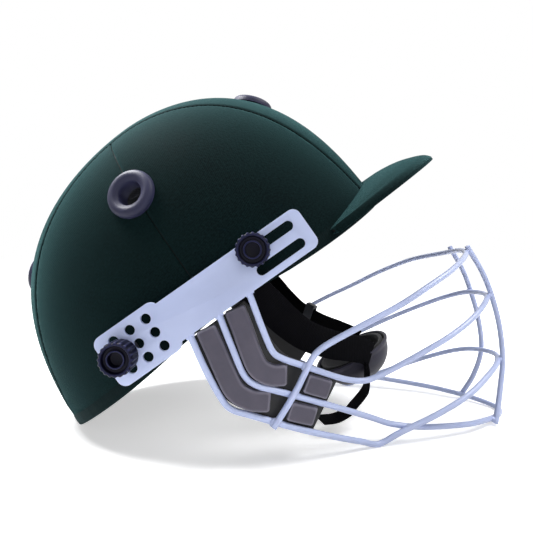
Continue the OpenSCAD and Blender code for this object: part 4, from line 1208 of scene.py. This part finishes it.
# floor and light: seen directly or in a gloss, the ground and the air are plain white
studio = {"floor": 14.0, "ambient": 0.12, "air": (0.93, 0.95, 1, 1), "paper": (0.8, 0.8, 0.81, 1),
          "catch": (0.95, 0.95, 0.95, 1), "glow": 0.52, "near": 0.25, "far": 0.65, "aim": (0, 0, 0.12)}
lamps = {"key": ((-0.34, 0.0, 0.6), 0.25, 7.6), "fill": ((0.25, -1.3, 0.45), 1.0, 3.5),
         "top": ((0.42, -0.15, 0.72), 0.4, 4.6), "back": ((-0.5, 0.9, 0.9), 0.8, 1.5)}


def choose(tree, share, one, two):
    return outOf(tree, "MixShader", {0: share, 1: one, 2: two})


def seenRays(tree):
    rays = nodeIn(tree, "LightPath").outputs
    return mathNode(tree, "MAXIMUM", rays["Is Camera Ray"], rays["Is Glossy Ray"])


bpy.ops.mesh.primitive_plane_add(size=studio["floor"])
ground = added("studio_floor")
floorPaint = bpy.data.materials.new("studio_paper")
floorPaint.use_nodes = True
tree = floorPaint.node_tree
tree.nodes.clear()
centred = nodeIn(tree, "TexCoord").outputs["Object"]
away = nodeIn(tree, "VectorMath", {0: centred}, operation="LENGTH").outputs["Value"]
spread = outOf(tree, "MapRange", {0: away, 1: studio["near"], 2: studio["far"], 3: studio["glow"], 4: 1.0})
paper = outOf(tree, "BsdfDiffuse", {"Color": studio["paper"]})
catching = outOf(tree, "BsdfDiffuse", {"Color": studio["catch"]})
glowing = outOf(tree, "Emission", {"Color": (1, 1, 1, 1), "Strength": spread})
lit = outOf(tree, "AddShader", {0: glowing, 1: catching})
fromAbove = choose(tree, seenRays(tree), paper, lit)
under = nodeIn(tree, "NewGeometry").outputs["Backfacing"]
clear = choose(tree, under, fromAbove, outOf(tree, "BsdfTransparent"))
nodeIn(tree, "OutputMaterial", {0: clear})
ground.data.materials.append(floorPaint)

world = bpy.data.worlds.new("studio_air")
scene.world = world
world.use_nodes = True
tree = world.node_tree
tree.nodes.clear()
air = outOf(tree, "Background", {"Color": studio["air"], "Strength": studio["ambient"]})
white = outOf(tree, "Background", {"Color": (1, 1, 1, 1), "Strength": 1.0})
nodeIn(tree, "OutputWorld", {0: choose(tree, seenRays(tree), air, white)})

for name, (place, size, power) in lamps.items():
    bpy.ops.object.light_add(type="AREA", location=place)
    lamp = added("lamp_" + name)
    lamp.data.shape, lamp.data.size, lamp.data.energy = "SQUARE", size, power
    aim = Vector(studio["aim"]) - Vector(place)
    lamp.rotation_euler = aim.to_track_quat("-Z", "Y").to_euler()
print("studio made")
